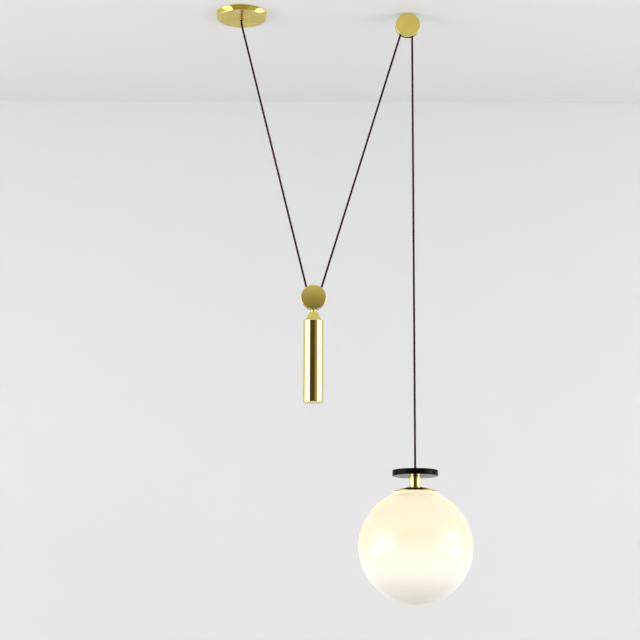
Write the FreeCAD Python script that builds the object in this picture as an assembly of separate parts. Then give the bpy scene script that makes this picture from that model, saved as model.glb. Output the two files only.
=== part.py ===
import FreeCAD, Part
import math
import os
from FreeCAD import Vector

# Rise and fall pendant, modelled as it hangs, in millimetres.
# The ceiling is the plane z = 0. The origin is the middle of the canopy on the ceiling, +X runs
# from the canopy to the ceiling pulley, and +Y points away from the viewer.

# ---- fits
RUN_CLEARANCE = 0.05        # radial, shaft in bearing
THREAD_CLEARANCE = 0.05     # radial, a screw in its tapped hole
PRESS_CLEARANCE = 0.02      # radial, pressed or soldered pieces
CORD_CLEARANCE = 0.1        # radial, cord through a bush
GROOVE_CLEARANCE = 0.3      # cord to the wall of the pulley groove

# ---- where things hang
PULLEY_SPACING = 420.5      # canopy centre to ceiling pulley axle, along X
WEIGHT_OFFSET = 186.0       # canopy centre to counterweight, along X
WEIGHT_AXLE_DROP = 735.0    # ceiling to counterweight axle
LAMP_DROP = 1157.0          # ceiling to the top of the black disc

# ---- cord
CORD_DIAMETER = 5.0
CORD_PITCH_RADIUS = 11.0    # cord centre line round both sheaves
CORD_FIRST_RUN = 8.0        # plumb length below the canopy grip
CORD_BEND_SHARE = 0.45      # share of the shorter run that a bend takes up

# ---- canopy
CANOPY_DIAMETER = 127.0
CANOPY_DEPTH = 15.0
CANOPY_WALL = 1.2
CANOPY_EDGE = 1.6           # outer edge radius
BAR_LENGTH = 104.0
BAR_WIDTH = 16.0
BAR_THICKNESS = 1.5
BAR_DEPTH = 6.5             # how far its middle is joggled down
BAR_MIDDLE = 58.0           # length of the joggled middle
BAR_SLOPE = 6.0             # run of each joggle
BOX_SCREW_SPACING = 88.9    # ceiling box screws, centre to centre
BOX_SLOT_LENGTH = 12.0
BOX_SLOT_WIDTH = 4.6
GROUND_SCREW_OFFSET = 21.0
GROUND_SCREW_DIAMETER = 4.0
GROUND_SCREW_LENGTH = 5.0
GROUND_HEAD_DIAMETER = 8.0
GROUND_HEAD_HEIGHT = 2.4
GROUND_SLOT = 1.0           # width and depth of its driver slot
GRIP_DIAMETER = 12.0
GRIP_HEIGHT = 4.5
GRIP_LIP = 1.5
GRIP_CHAMFER = 0.8

# ---- threaded tubes, their nuts and the cord anchors
TUBE_DIAMETER = 10.0
TUBE_BORE = 6.4
NUT_ACROSS_FLATS = 14.0
NUT_THICKNESS = 3.0
ANCHOR_DIAMETER = 9.0
ANCHOR_LENGTH = 2.6
CANOPY_TUBE_TOP = 3.2       # ceiling to the top of the canopy's threaded tube
TUBE_PROUD = 1.5            # how far the lamp's tube stands out of its nut

# ---- pulleys
CHEEK_DIAMETER = 62.0
CHEEK_THICKNESS = 5.0
CHEEK_EDGE = 1.2
CHEEK_GAP = 7.0
CEILING_GAP = 1.0           # ceiling to the rim of the ceiling pulley's cheeks
SHEAVE_WIDTH = 6.4
SHEAVE_RIM = 1.5            # rim above the cord's centre line
BUSH_DIAMETER = 8.0
BUSH_LENGTH = 6.8
AXLE_DIAMETER = 5.0
AXLE_GRIP = 3.0             # depth that axle and screws reach into the front cheek
AXLE_HEAD_DIAMETER = 10.0
AXLE_HEAD_HEIGHT = 2.0
AXLE_KEY = 3.0              # hexagon socket across flats
AXLE_KEY_DEPTH = 1.2
BLOCK_WIDTH = 14.0
BLOCK_RELIEF = 2.0          # cord to the hollow end of a block
CHEEK_SCREW_DIAMETER = 3.0
CHEEK_SCREW_HEAD = 6.0
CHEEK_SCREW_SPACING = 10.0
CHEEK_SCREW_RADIUS = 23.5   # height of the screws above or below the axle
HANGER_TAP = 3.3            # tapping hole for the hanger stud
HANGER_DEPTH = 11.0

# ---- counterweight
NECK_DIAMETER = 15.0
NECK_HEIGHT = 4.0
NECK_GAP = 0.5              # cheek rims to the neck
STUD_DIAMETER = 10.0
STUD_LENGTH = 45.0
CONE_TOP_DIAMETER = 18.6
CONE_HEIGHT = 19.0
WEIGHT_SHOULDER = 5.5       # radius of the shell's rounded shoulder
WEIGHT_DIAMETER = 50.0
WEIGHT_LENGTH = 205.0
WEIGHT_WALL = 3.0
WEIGHT_ROOF = 7.0
WEIGHT_FOOT_CHAMFER = 0.8
CORE_PLAY = 0.2
PLUG_THICKNESS = 8.0
PLUG_HOLE_DIAMETER = 3.0
PLUG_HOLE_SPACING = 28.0
PLUG_HOLE_DEPTH = 4.0

# ---- lamp: disc, stem and cap
DISC_DIAMETER = 110.0
DISC_THICKNESS = 14.0
DISC_EDGE = 1.2
DISC_NUT_DIAMETER = 18.0
DISC_NUT_HEIGHT = 3.0
DISC_NUT_ROOF = 1.5
STEM_DIAMETER = 28.0
STEM_LENGTH = 28.4
CAP_OVERLAP = 7.0           # mouth of the glass to the cap's rim
CAP_RISE = 8.6
CAP_SHEET = 1.6
CAP_BULGE = 1.2             # crown of the dome above a straight cone
CAP_RIM = 1.4
CAP_SEAT = 0.5              # flat left round the stem
CAP_HUB_DIAMETER = 24.0
CAP_HUB_DEPTH = 6.8

# ---- lamp: glass and what holds it
GASKET_THICKNESS = 1.0
GASKET_INSET = 2.0          # how far the ring reaches inside the mouth
GASKET_WIDTH = 7.5
GLOBE_DIAMETER = 272.0
GLOBE_WALL = 2.5
GLOBE_COLLAR_WIDTH = 11.5   # mouth to the outside of the collar
GLOBE_COLLAR_FILLET = 6.0
GLOBE_COLLAR_EDGE = 2.0
GLOBE_MOUTH_DIAMETER = 88.0
GLOBE_COLLAR_RISE = 6.3      # collar top above the circle where the collar's line meets the ball
GLOBE_BELT_SHARE = 0.54      # middle band's half height as a share of the globe's radius
GLOBE_QUARTERS = 4
GLOBE_SEAM_TURN = 45.0       # degrees from the plane of the cords to the quarters' first seam
CARRIER_GAP = 4.0           # mouth of the glass to the carrier's edge
CARRIER_THICKNESS = 1.5
SPRING_COUNT = 3
SPRING_WIDTH = 8.0
SPRING_THICKNESS = 0.8
SPRING_START = 22.0         # radius at the spring's inner end
SPRING_SCREW_CIRCLE = 56.0
SPRING_BEND_INSET = 2.0     # carrier's edge to the first bend
SPRING_PASS_GAP = 2.2       # mouth to the strip where it goes through
SPRING_PASS_DROP = 0.8
SPRING_CROOK_REACH = 3.8    # how far the crook reaches past the mouth
SPRING_GLASS_GAP = 1.0      # inside of the glass to the crook's centre line
SPRING_TAIL = 10.5          # how far the free end drops below the crook
SPRING_TAIL_GAP = 2.0       # mouth to the free end
SPRING_SCREW_DIAMETER = 3.0
SPRING_HEAD_DIAMETER = 5.5
SPRING_HEAD_HEIGHT = 2.0

# ---- lamp: lampholder and bulb
HOLDER_TOP_DIAMETER = 26.0
HOLDER_DIAMETER = 43.0
HOLDER_TOP_SLOPE = 8.0
HOLDER_TOP_LENGTH = 18.0
HOLDER_WALL = 2.0
HOLDER_ROOF = 2.5
HOLDER_BODY_LENGTH = 37.0
HOLDER_BODY_TAPER = 1.5
HOLDER_WEB_DEPTH = 6.0
HOLDER_WEB = 4.0
HOLDER_LEAD_HOLE = 4.0      # hole through the web for the leads
SHELL_THICKNESS = 0.5
SHELL_LENGTH = 23.0
SHELL_PLAY = 0.3
CONTACT_DIAMETER = 6.0
CONTACT_HEIGHT = 2.0
LAMP_BASE_DIAMETER = 26.4
LAMP_BASE_LENGTH = 22.0
LAMP_BASE_TIP = 2.0
LAMP_BASE_CUP = 3.0         # how far the bulb's neck stands in the base
LAMP_BASE_CHAMFER = 3.0
LAMP_BULB_DIAMETER = 60.0
LAMP_BULB_LENGTH = 83.0
LAMP_BULB_WALL = 1.0
LAMP_NECK_INSET = 1.0       # base radius to the neck's radius
LAMP_NECK_LENGTH = 12.0
LAMP_NECK_WAIST = 2.5       # how far the neck's curve pulls in
LAMP_BULB_LEAN = 50.0       # degrees up the ball to where the neck's curve starts

TURN = 360.0

os.makedirs("parts", exist_ok=True)
nodes = {}


# ---------------------------------------------------------------- helpers

def on_circle(centre, radius, degrees):
    """Point of a circle in an outline's plane: centre is (r, z), 0 degrees points outwards."""
    angle = math.radians(degrees)
    return (centre[0] + radius * math.cos(angle), centre[1] + radius * math.sin(angle))


def outline(start, *moves):
    """Closed face in the XZ plane. A move is (x, z) for a line or ((x, z), (x, z)) for an arc."""
    edges = []
    here = Vector(start[0], 0, start[1])
    for move in moves + (start,):
        if isinstance(move[0], tuple):
            middle = Vector(move[0][0], 0, move[0][1])
            there = Vector(move[1][0], 0, move[1][1])
            edges.append(Part.Arc(here, middle, there).toShape())
        else:
            there = Vector(move[0], 0, move[1])
            if there.distanceToPoint(here) > 1e-7:
                edges.append(Part.LineSegment(here, there).toShape())
        here = there
    return Part.Face(Part.Wire(edges))


def turned(face, x=0.0):
    """Turn an outline given as (radius, z) about the upright line at x."""
    solid = face.revolve(Vector(0, 0, 0), Vector(0, 0, 1), TURN)
    solid.translate(Vector(x, 0, 0))
    return solid


def turned_across(face, x, z):
    """Turn an outline given as (radius, y) about the level axle through (x, z)."""
    solid = face.revolve(Vector(0, 0, 0), Vector(0, 0, 1), TURN)
    solid.rotate(Vector(0, 0, 0), Vector(1, 0, 0), -90)
    solid.translate(Vector(x, 0, z))
    return solid


def rod(radius, x, bottom, top):
    """Upright round bar."""
    return Part.makeCylinder(radius, top - bottom, Vector(x, 0, bottom))


def cross_rod(radius, x, z, front, back):
    """Round bar along Y."""
    return Part.makeCylinder(radius, back - front, Vector(x, front, z), Vector(0, 1, 0))


def tube(outer, inner, x, bottom, top):
    """Upright tube."""
    return rod(outer, x, bottom, top).cut(rod(inner, x, bottom, top))


def hexagon(across_flats):
    """Face of a hexagon about the origin, in the XY plane."""
    corner = across_flats / 2 / math.cos(math.radians(30))
    points = [Vector(*on_circle((0, 0), corner, 60 * side), 0) for side in range(7)]
    return Part.Face(Part.makePolygon(points))


def hex_nut(across_flats, bore, x, bottom, top):
    """Plain hexagon nut on an upright axis."""
    body = hexagon(across_flats).extrude(Vector(0, 0, top - bottom))
    body.translate(Vector(x, 0, bottom))
    return body.cut(rod(bore, x, bottom, top))


def strip(points, thickness, width):
    """Bent strip of sheet: its centre line is a list of (x, z) points, its width lies along Y."""
    sides = []
    for side in (1, -1):
        row = []
        for place, (x, z) in enumerate(points):
            before = points[max(place - 1, 0)]
            after = points[min(place + 1, len(points) - 1)]
            first = unit(before, (x, z)) if place else unit((x, z), after)
            second = unit((x, z), after) if place < len(points) - 1 else first
            lean = (first[0] + second[0], first[1] + second[1])
            size = math.hypot(*lean)
            normal = (-lean[1] / size, lean[0] / size)
            reach = thickness / 2 / (normal[0] * -first[1] + normal[1] * first[0])
            row.append((x + side * reach * normal[0], z + side * reach * normal[1]))
        sides.append(row)
    corners = sides[0] + sides[1][::-1]
    face = outline(corners[0], *corners[1:])
    solid = face.extrude(Vector(0, width, 0))
    solid.translate(Vector(0, -width / 2, 0))
    return solid


def unit(start, end):
    """Unit direction between two outline points."""
    run = (end[0] - start[0], end[1] - start[1])
    size = math.hypot(*run)
    return (run[0] / size, run[1] / size)


# ---------------------------------------------------------------- levels worked out from the sizes

tube_radius = TUBE_DIAMETER / 2
thread_radius = tube_radius + THREAD_CLEARANCE
cord_radius = CORD_DIAMETER / 2
cord_hole = cord_radius + CORD_CLEARANCE
cheek_radius = CHEEK_DIAMETER / 2
pulley_axle_z = -(CEILING_GAP + cheek_radius)
weight_axle_z = -WEIGHT_AXLE_DROP
grip_bottom = -(CANOPY_DEPTH + GRIP_HEIGHT)
neck_top = weight_axle_z - cheek_radius - NECK_GAP
cone_top = neck_top - NECK_HEIGHT
shell_top = cone_top - CONE_HEIGHT
shell_bottom = shell_top - WEIGHT_LENGTH
lamp_x = PULLEY_SPACING + CORD_PITCH_RADIUS
disc_top = -LAMP_DROP
disc_bottom = disc_top - DISC_THICKNESS
stem_bottom = disc_bottom - STEM_LENGTH
cap_bottom = stem_bottom - CAP_RISE
collar_top = cap_bottom - GASKET_THICKNESS
globe_radius = GLOBE_DIAMETER / 2
mouth_radius = GLOBE_MOUTH_DIAMETER / 2
collar_radius = mouth_radius + GLOBE_COLLAR_WIDTH
globe_centre = collar_top - GLOBE_COLLAR_RISE - math.sqrt(globe_radius ** 2 - collar_radius ** 2)
carrier_radius = mouth_radius - CARRIER_GAP
cap_radius = mouth_radius + CAP_OVERLAP
gasket_inner = mouth_radius - GASKET_INSET
gasket_outer = gasket_inner + GASKET_WIDTH
carrier_top = stem_bottom - CAP_HUB_DEPTH
holder_top = carrier_top - CARRIER_THICKNESS
lamp_tube_bottom = holder_top - HOLDER_ROOF - NUT_THICKNESS - TUBE_PROUD
web_under = holder_top - HOLDER_TOP_LENGTH - HOLDER_WEB_DEPTH - HOLDER_WEB
base_top = web_under - CONTACT_HEIGHT - LAMP_BASE_TIP
bulb_top = base_top - LAMP_BASE_LENGTH + LAMP_BASE_CUP


# ---------------------------------------------------------------- canopy

def canopy_shell():
    """Spun brass pan with a flat underside, open against the ceiling."""
    outer = CANOPY_DIAMETER / 2
    inner = outer - CANOPY_WALL
    floor = -CANOPY_DEPTH
    bend = (outer - CANOPY_EDGE, floor + CANOPY_EDGE)
    return turned(outline(
        (thread_radius, floor),
        (outer - CANOPY_EDGE, floor),
        (on_circle(bend, CANOPY_EDGE, -45), (outer, floor + CANOPY_EDGE)),
        (outer, 0),
        (inner, 0),
        (inner, floor + CANOPY_WALL),
        (thread_radius, floor + CANOPY_WALL)))


def crossbar():
    """Joggled strap with slots for the ceiling box screws."""
    half = BAR_LENGTH / 2
    middle = BAR_MIDDLE / 2
    shoulder = middle + BAR_SLOPE
    top = [(-half, 0), (-shoulder, 0), (-middle, -BAR_DEPTH),
           (middle, -BAR_DEPTH), (shoulder, 0), (half, 0)]
    under = [(x, z - BAR_THICKNESS) for x, z in reversed(top)]
    corners = top + under
    bar = outline(corners[0], *corners[1:]).extrude(Vector(0, BAR_WIDTH, 0))
    bar.translate(Vector(0, -BAR_WIDTH / 2, 0))
    slot_radius = BOX_SLOT_WIDTH / 2
    reach = BOX_SLOT_LENGTH / 2 - slot_radius
    for side in (-1, 1):
        centre = side * BOX_SCREW_SPACING / 2
        slot = Part.makeBox(2 * reach, BOX_SLOT_WIDTH, BAR_THICKNESS,
                            Vector(centre - reach, -slot_radius, -BAR_THICKNESS))
        for end in (-reach, reach):
            slot = slot.fuse(rod(slot_radius, centre + end, -BAR_THICKNESS, 0))
        bar = bar.cut(slot)
    under_middle = -(BAR_DEPTH + BAR_THICKNESS)
    bar = bar.cut(rod(thread_radius, 0, under_middle, -BAR_DEPTH))
    hole = GROUND_SCREW_DIAMETER / 2 + THREAD_CLEARANCE
    return bar.cut(rod(hole, GROUND_SCREW_OFFSET, under_middle, -BAR_DEPTH))


def ground_screw():
    """Pan head screw for the earth lead."""
    seat = -BAR_DEPTH
    shank = rod(GROUND_SCREW_DIAMETER / 2, GROUND_SCREW_OFFSET, seat - GROUND_SCREW_LENGTH, seat)
    head = rod(GROUND_HEAD_DIAMETER / 2, GROUND_SCREW_OFFSET, seat, seat + GROUND_HEAD_HEIGHT)
    recess = Part.makeBox(GROUND_HEAD_DIAMETER, GROUND_SLOT, GROUND_SLOT,
                          Vector(GROUND_SCREW_OFFSET - GROUND_HEAD_DIAMETER / 2,
                                 -GROUND_SLOT / 2, seat + GROUND_HEAD_HEIGHT - GROUND_SLOT))
    return shank.fuse(head).removeSplitter().cut(recess)


def canopy_grip():
    """Round brass nut under the canopy that the cord comes out of."""
    outer = GRIP_DIAMETER / 2
    top = -CANOPY_DEPTH
    lip = grip_bottom + GRIP_LIP
    return turned(outline(
        (cord_hole, grip_bottom),
        (outer - GRIP_CHAMFER, grip_bottom),
        (outer, grip_bottom + GRIP_CHAMFER),
        (outer, top),
        (thread_radius, top),
        (thread_radius, lip),
        (cord_hole, lip)))


def canopy():
    """Everything at the canopy, stacked on one threaded tube."""
    bar_under = -(BAR_DEPTH + BAR_THICKNESS)
    tube_top = -CANOPY_TUBE_TOP
    nodes["canopy_shell"] = canopy_shell()
    nodes["canopy_crossbar"] = crossbar()
    nodes["ground_screw"] = ground_screw()
    nodes["canopy_tube"] = tube(tube_radius, TUBE_BORE / 2, 0, grip_bottom + GRIP_LIP, tube_top)
    nodes["canopy_tube_nuts"] = Part.makeCompound([
        hex_nut(NUT_ACROSS_FLATS, thread_radius, 0, -BAR_DEPTH, -BAR_DEPTH + NUT_THICKNESS),
        hex_nut(NUT_ACROSS_FLATS, thread_radius, 0, bar_under - NUT_THICKNESS, bar_under)])
    nodes["canopy_cord_grip"] = canopy_grip()
    nodes["canopy_cord_anchor"] = tube(ANCHOR_DIAMETER / 2, cord_radius + PRESS_CLEARANCE, 0,
                                       tube_top, tube_top + ANCHOR_LENGTH)
    nodes["canopy_cord_tail"] = rod(cord_radius, 0, grip_bottom, tube_top + ANCHOR_LENGTH)


# ---------------------------------------------------------------- pulleys

def front_cheek(x, z, screw_z):
    """Plain-faced disc: the axle and the screws stop inside it."""
    inner = -CHEEK_GAP / 2
    face = inner - CHEEK_THICKNESS
    bend = (cheek_radius - CHEEK_EDGE, face + CHEEK_EDGE)
    disc = turned_across(outline(
        (0, face),
        (cheek_radius - CHEEK_EDGE, face),
        (on_circle(bend, CHEEK_EDGE, -45), (cheek_radius, face + CHEEK_EDGE)),
        (cheek_radius, inner),
        (0, inner)), x, z)
    disc = disc.cut(cross_rod(AXLE_DIAMETER / 2 + THREAD_CLEARANCE, x, z, inner - AXLE_GRIP, inner))
    for side in (-1, 1):
        screw_x = x + side * CHEEK_SCREW_SPACING / 2
        radius = CHEEK_SCREW_DIAMETER / 2 + THREAD_CLEARANCE
        disc = disc.cut(cross_rod(radius, screw_x, screw_z, inner - AXLE_GRIP, inner))
    return disc


def screw_cone(x, z, clearance):
    """Countersunk head, its flat flush with the back of the rear cheek."""
    back = CHEEK_GAP / 2 + CHEEK_THICKNESS
    head = CHEEK_SCREW_HEAD / 2 + clearance
    shank = CHEEK_SCREW_DIAMETER / 2 + clearance
    return turned_across(outline((0, back), (head, back), (shank, back - (head - shank)),
                                 (0, back - (head - shank))), x, z)


def rear_cheek(x, z, screw_z):
    """Disc with the axle's counterbore and the countersunk screw holes."""
    inner = CHEEK_GAP / 2
    face = inner + CHEEK_THICKNESS
    bend = (cheek_radius - CHEEK_EDGE, face - CHEEK_EDGE)
    disc = turned_across(outline(
        (0, inner),
        (cheek_radius, inner),
        (cheek_radius, face - CHEEK_EDGE),
        (on_circle(bend, CHEEK_EDGE, 45), (cheek_radius - CHEEK_EDGE, face)),
        (0, face)), x, z)
    disc = disc.cut(cross_rod(AXLE_DIAMETER / 2 + THREAD_CLEARANCE, x, z, inner, face))
    head = AXLE_HEAD_DIAMETER / 2 + THREAD_CLEARANCE
    disc = disc.cut(cross_rod(head, x, z, face - AXLE_HEAD_HEIGHT, face))
    for side in (-1, 1):
        screw_x = x + side * CHEEK_SCREW_SPACING / 2
        radius = CHEEK_SCREW_DIAMETER / 2 + THREAD_CLEARANCE
        disc = disc.cut(cross_rod(radius, screw_x, screw_z, inner, face))
        disc = disc.cut(screw_cone(screw_x, screw_z, THREAD_CLEARANCE))
    return disc


def axle_screw(x, z):
    """Shoulder screw put in from behind, with a hexagon socket."""
    back = CHEEK_GAP / 2 + CHEEK_THICKNESS
    under_head = back - AXLE_HEAD_HEIGHT
    tip = -CHEEK_GAP / 2 - AXLE_GRIP
    bolt = turned_across(outline(
        (0, tip),
        (AXLE_DIAMETER / 2, tip),
        (AXLE_DIAMETER / 2, under_head),
        (AXLE_HEAD_DIAMETER / 2, under_head),
        (AXLE_HEAD_DIAMETER / 2, back),
        (0, back)), x, z)
    socket = hexagon(AXLE_KEY)
    socket.rotate(Vector(0, 0, 0), Vector(1, 0, 0), -90)
    socket.translate(Vector(x, back - AXLE_KEY_DEPTH, z))
    return bolt.cut(socket.extrude(Vector(0, AXLE_KEY_DEPTH, 0)))


def cheek_screws(x, z):
    """Two countersunk screws from the rear cheek into the front one."""
    back = CHEEK_GAP / 2 + CHEEK_THICKNESS
    tip = -CHEEK_GAP / 2 - AXLE_GRIP
    radius = CHEEK_SCREW_DIAMETER / 2
    head = CHEEK_SCREW_HEAD / 2
    screws = []
    for side in (-1, 1):
        screws.append(turned_across(outline(
            (0, tip),
            (radius, tip),
            (radius, back - (head - radius)),
            (head, back),
            (0, back)), x + side * CHEEK_SCREW_SPACING / 2, z))
    return Part.makeCompound(screws)


def sheave(x, z):
    """Grooved wheel that the cord runs round."""
    half = SHEAVE_WIDTH / 2
    groove = cord_radius + GROOVE_CLEARANCE
    rim = CORD_PITCH_RADIUS + SHEAVE_RIM
    bore = BUSH_DIAMETER / 2 + PRESS_CLEARANCE
    return turned_across(outline(
        (bore, -half),
        (rim, -half),
        (rim, -groove),
        (CORD_PITCH_RADIUS, -groove),
        ((CORD_PITCH_RADIUS - groove, 0), (CORD_PITCH_RADIUS, groove)),
        (rim, groove),
        (rim, half),
        (bore, half)), x, z)


def sheave_bush(x, z):
    """Bronze bush pressed into the sheave and a little wider than it."""
    half = BUSH_LENGTH / 2
    bore = AXLE_DIAMETER / 2 + RUN_CLEARANCE
    outer = BUSH_DIAMETER / 2
    return turned_across(outline((bore, -half), (outer, -half), (outer, half), (bore, half)), x, z)


def pulley_block(x, z, side, far_end):
    """Block between the cheeks: its inner end is hollowed to clear the cord on the sheave."""
    clear = CORD_PITCH_RADIUS + cord_radius + BLOCK_RELIEF
    near = z + side * (clear - BLOCK_RELIEF)
    low = min(near, far_end)
    block = Part.makeBox(BLOCK_WIDTH, CHEEK_GAP, abs(far_end - near),
                         Vector(x - BLOCK_WIDTH / 2, -CHEEK_GAP / 2, low))
    block = block.cut(cross_rod(clear, x, z, -CHEEK_GAP / 2, CHEEK_GAP / 2))
    for place in (-1, 1):
        radius = CHEEK_SCREW_DIAMETER / 2 + THREAD_CLEARANCE
        block = block.cut(cross_rod(radius, x + place * CHEEK_SCREW_SPACING / 2,
                                    z + side * CHEEK_SCREW_RADIUS, -CHEEK_GAP / 2, CHEEK_GAP / 2))
    return block


def pulley(name, x, z, side):
    """One two-cheek pulley. side is 1 where its block is above the axle, -1 below."""
    screw_z = z + side * CHEEK_SCREW_RADIUS
    nodes[name + "_front_cheek"] = front_cheek(x, z, screw_z)
    nodes[name + "_rear_cheek"] = rear_cheek(x, z, screw_z)
    nodes[name + "_axle"] = axle_screw(x, z)
    nodes[name + "_screws"] = cheek_screws(x, screw_z)
    nodes[name + "_sheave"] = sheave(x, z)
    nodes[name + "_bush"] = sheave_bush(x, z)


def ceiling_pulley():
    """Pulley hard under the ceiling, on a block tapped for the hanger stud."""
    pulley("ceiling_pulley", PULLEY_SPACING, pulley_axle_z, 1)
    block = pulley_block(PULLEY_SPACING, pulley_axle_z, 1, 0.0)
    nodes["ceiling_pulley_block"] = block.cut(
        rod(HANGER_TAP / 2, PULLEY_SPACING, -HANGER_DEPTH, 0))


# ---------------------------------------------------------------- counterweight

def weight_neck():
    """Tongue between the cheeks, round neck and threaded stud, turned and milled as one."""
    stud = STUD_DIAMETER / 2
    turned_end = turned(outline(
        (0, neck_top),
        (NECK_DIAMETER / 2, neck_top),
        (NECK_DIAMETER / 2, cone_top),
        (stud, cone_top),
        (stud, cone_top - STUD_LENGTH),
        (0, cone_top - STUD_LENGTH)), WEIGHT_OFFSET)
    tongue = pulley_block(WEIGHT_OFFSET, weight_axle_z, -1, neck_top)
    return tongue.fuse(turned_end).removeSplitter()


def weight_cone():
    """Satin brass cone between the neck and the shell."""
    bore = STUD_DIAMETER / 2 + THREAD_CLEARANCE
    foot = WEIGHT_DIAMETER / 2 - WEIGHT_SHOULDER
    return turned(outline(
        (bore, cone_top),
        (CONE_TOP_DIAMETER / 2, cone_top),
        (foot, shell_top),
        (bore, shell_top)), WEIGHT_OFFSET)


def weight_shell():
    """Polished brass sleeve with a rounded shoulder and a thick roof."""
    outer = WEIGHT_DIAMETER / 2
    inner = outer - WEIGHT_WALL
    bore = STUD_DIAMETER / 2 + THREAD_CLEARANCE
    bend = (outer - WEIGHT_SHOULDER, shell_top - WEIGHT_SHOULDER)
    return turned(outline(
        (bore, shell_top),
        (outer - WEIGHT_SHOULDER, shell_top),
        (on_circle(bend, WEIGHT_SHOULDER, 45), (outer, shell_top - WEIGHT_SHOULDER)),
        (outer, shell_bottom + WEIGHT_FOOT_CHAMFER),
        (outer - WEIGHT_FOOT_CHAMFER, shell_bottom),
        (inner, shell_bottom),
        (inner, shell_top - WEIGHT_ROOF),
        (bore, shell_top - WEIGHT_ROOF)), WEIGHT_OFFSET)


def weight_core():
    """Steel bar that gives the counterweight its mass, tapped for the stud."""
    radius = WEIGHT_DIAMETER / 2 - WEIGHT_WALL - CORE_PLAY
    top = shell_top - WEIGHT_ROOF
    stud_end = cone_top - STUD_LENGTH
    bore = STUD_DIAMETER / 2 + THREAD_CLEARANCE
    bar = rod(radius, WEIGHT_OFFSET, shell_bottom + PLUG_THICKNESS, top)
    return bar.cut(rod(bore, WEIGHT_OFFSET, stud_end, top))


def weight_plug():
    """Brass foot plug, flush with the shell, with two holes for a pin spanner."""
    radius = WEIGHT_DIAMETER / 2 - WEIGHT_WALL - THREAD_CLEARANCE
    plug = rod(radius, WEIGHT_OFFSET, shell_bottom, shell_bottom + PLUG_THICKNESS)
    for side in (-1, 1):
        x = WEIGHT_OFFSET + side * PLUG_HOLE_SPACING / 2
        plug = plug.cut(rod(PLUG_HOLE_DIAMETER / 2, x, shell_bottom, shell_bottom + PLUG_HOLE_DEPTH))
    return plug


def counterweight():
    """Pulley, neck, cone and the loaded brass cylinder."""
    pulley("weight_pulley", WEIGHT_OFFSET, weight_axle_z, -1)
    nodes["weight_neck"] = weight_neck()
    nodes["weight_cone"] = weight_cone()
    nodes["weight_shell"] = weight_shell()
    nodes["weight_core"] = weight_core()
    nodes["weight_plug"] = weight_plug()


# ---------------------------------------------------------------- lamp

def black_disc():
    """Thick black disc above the stem, let in on top for its nut."""
    outer = DISC_DIAMETER / 2
    nut = DISC_NUT_DIAMETER / 2 + THREAD_CLEARANCE
    step = disc_top - DISC_NUT_HEIGHT
    upper = (outer - DISC_EDGE, disc_top - DISC_EDGE)
    lower = (outer - DISC_EDGE, disc_bottom + DISC_EDGE)
    return turned(outline(
        (nut, disc_top),
        (outer - DISC_EDGE, disc_top),
        (on_circle(upper, DISC_EDGE, 45), (outer, disc_top - DISC_EDGE)),
        (outer, disc_bottom + DISC_EDGE),
        (on_circle(lower, DISC_EDGE, -45), (outer - DISC_EDGE, disc_bottom)),
        (thread_radius, disc_bottom),
        (thread_radius, step),
        (nut, step)), lamp_x)


def disc_nut():
    """Round nut let into the disc; the cord goes in through its middle."""
    outer = DISC_NUT_DIAMETER / 2
    roof = disc_top - DISC_NUT_ROOF
    foot = disc_top - DISC_NUT_HEIGHT
    return turned(outline(
        (cord_hole, disc_top),
        (outer, disc_top),
        (outer, foot),
        (thread_radius, foot),
        (thread_radius, roof),
        (cord_hole, roof)), lamp_x)


def fitter_cap():
    """Spun brass dome over the mouth of the glass, with a turned hub."""
    outer = cap_radius
    shoulder = STEM_DIAMETER / 2 + CAP_SEAT
    rim_top = cap_bottom + CAP_RIM
    crown = ((shoulder + outer) / 2, (stem_bottom + rim_top) / 2 + CAP_BULGE)
    inner = outer - CAP_SHEET
    hub = CAP_HUB_DIAMETER / 2
    inner_start = (hub, stem_bottom - CAP_SHEET)
    under = ((hub + inner) / 2, (inner_start[1] + cap_bottom) / 2 + CAP_BULGE)
    return turned(outline(
        (thread_radius, stem_bottom),
        (shoulder, stem_bottom),
        (crown, (outer, rim_top)),
        (outer, cap_bottom),
        (inner, cap_bottom),
        (under, inner_start),
        (hub, carrier_top),
        (thread_radius, carrier_top)), lamp_x)


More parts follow.
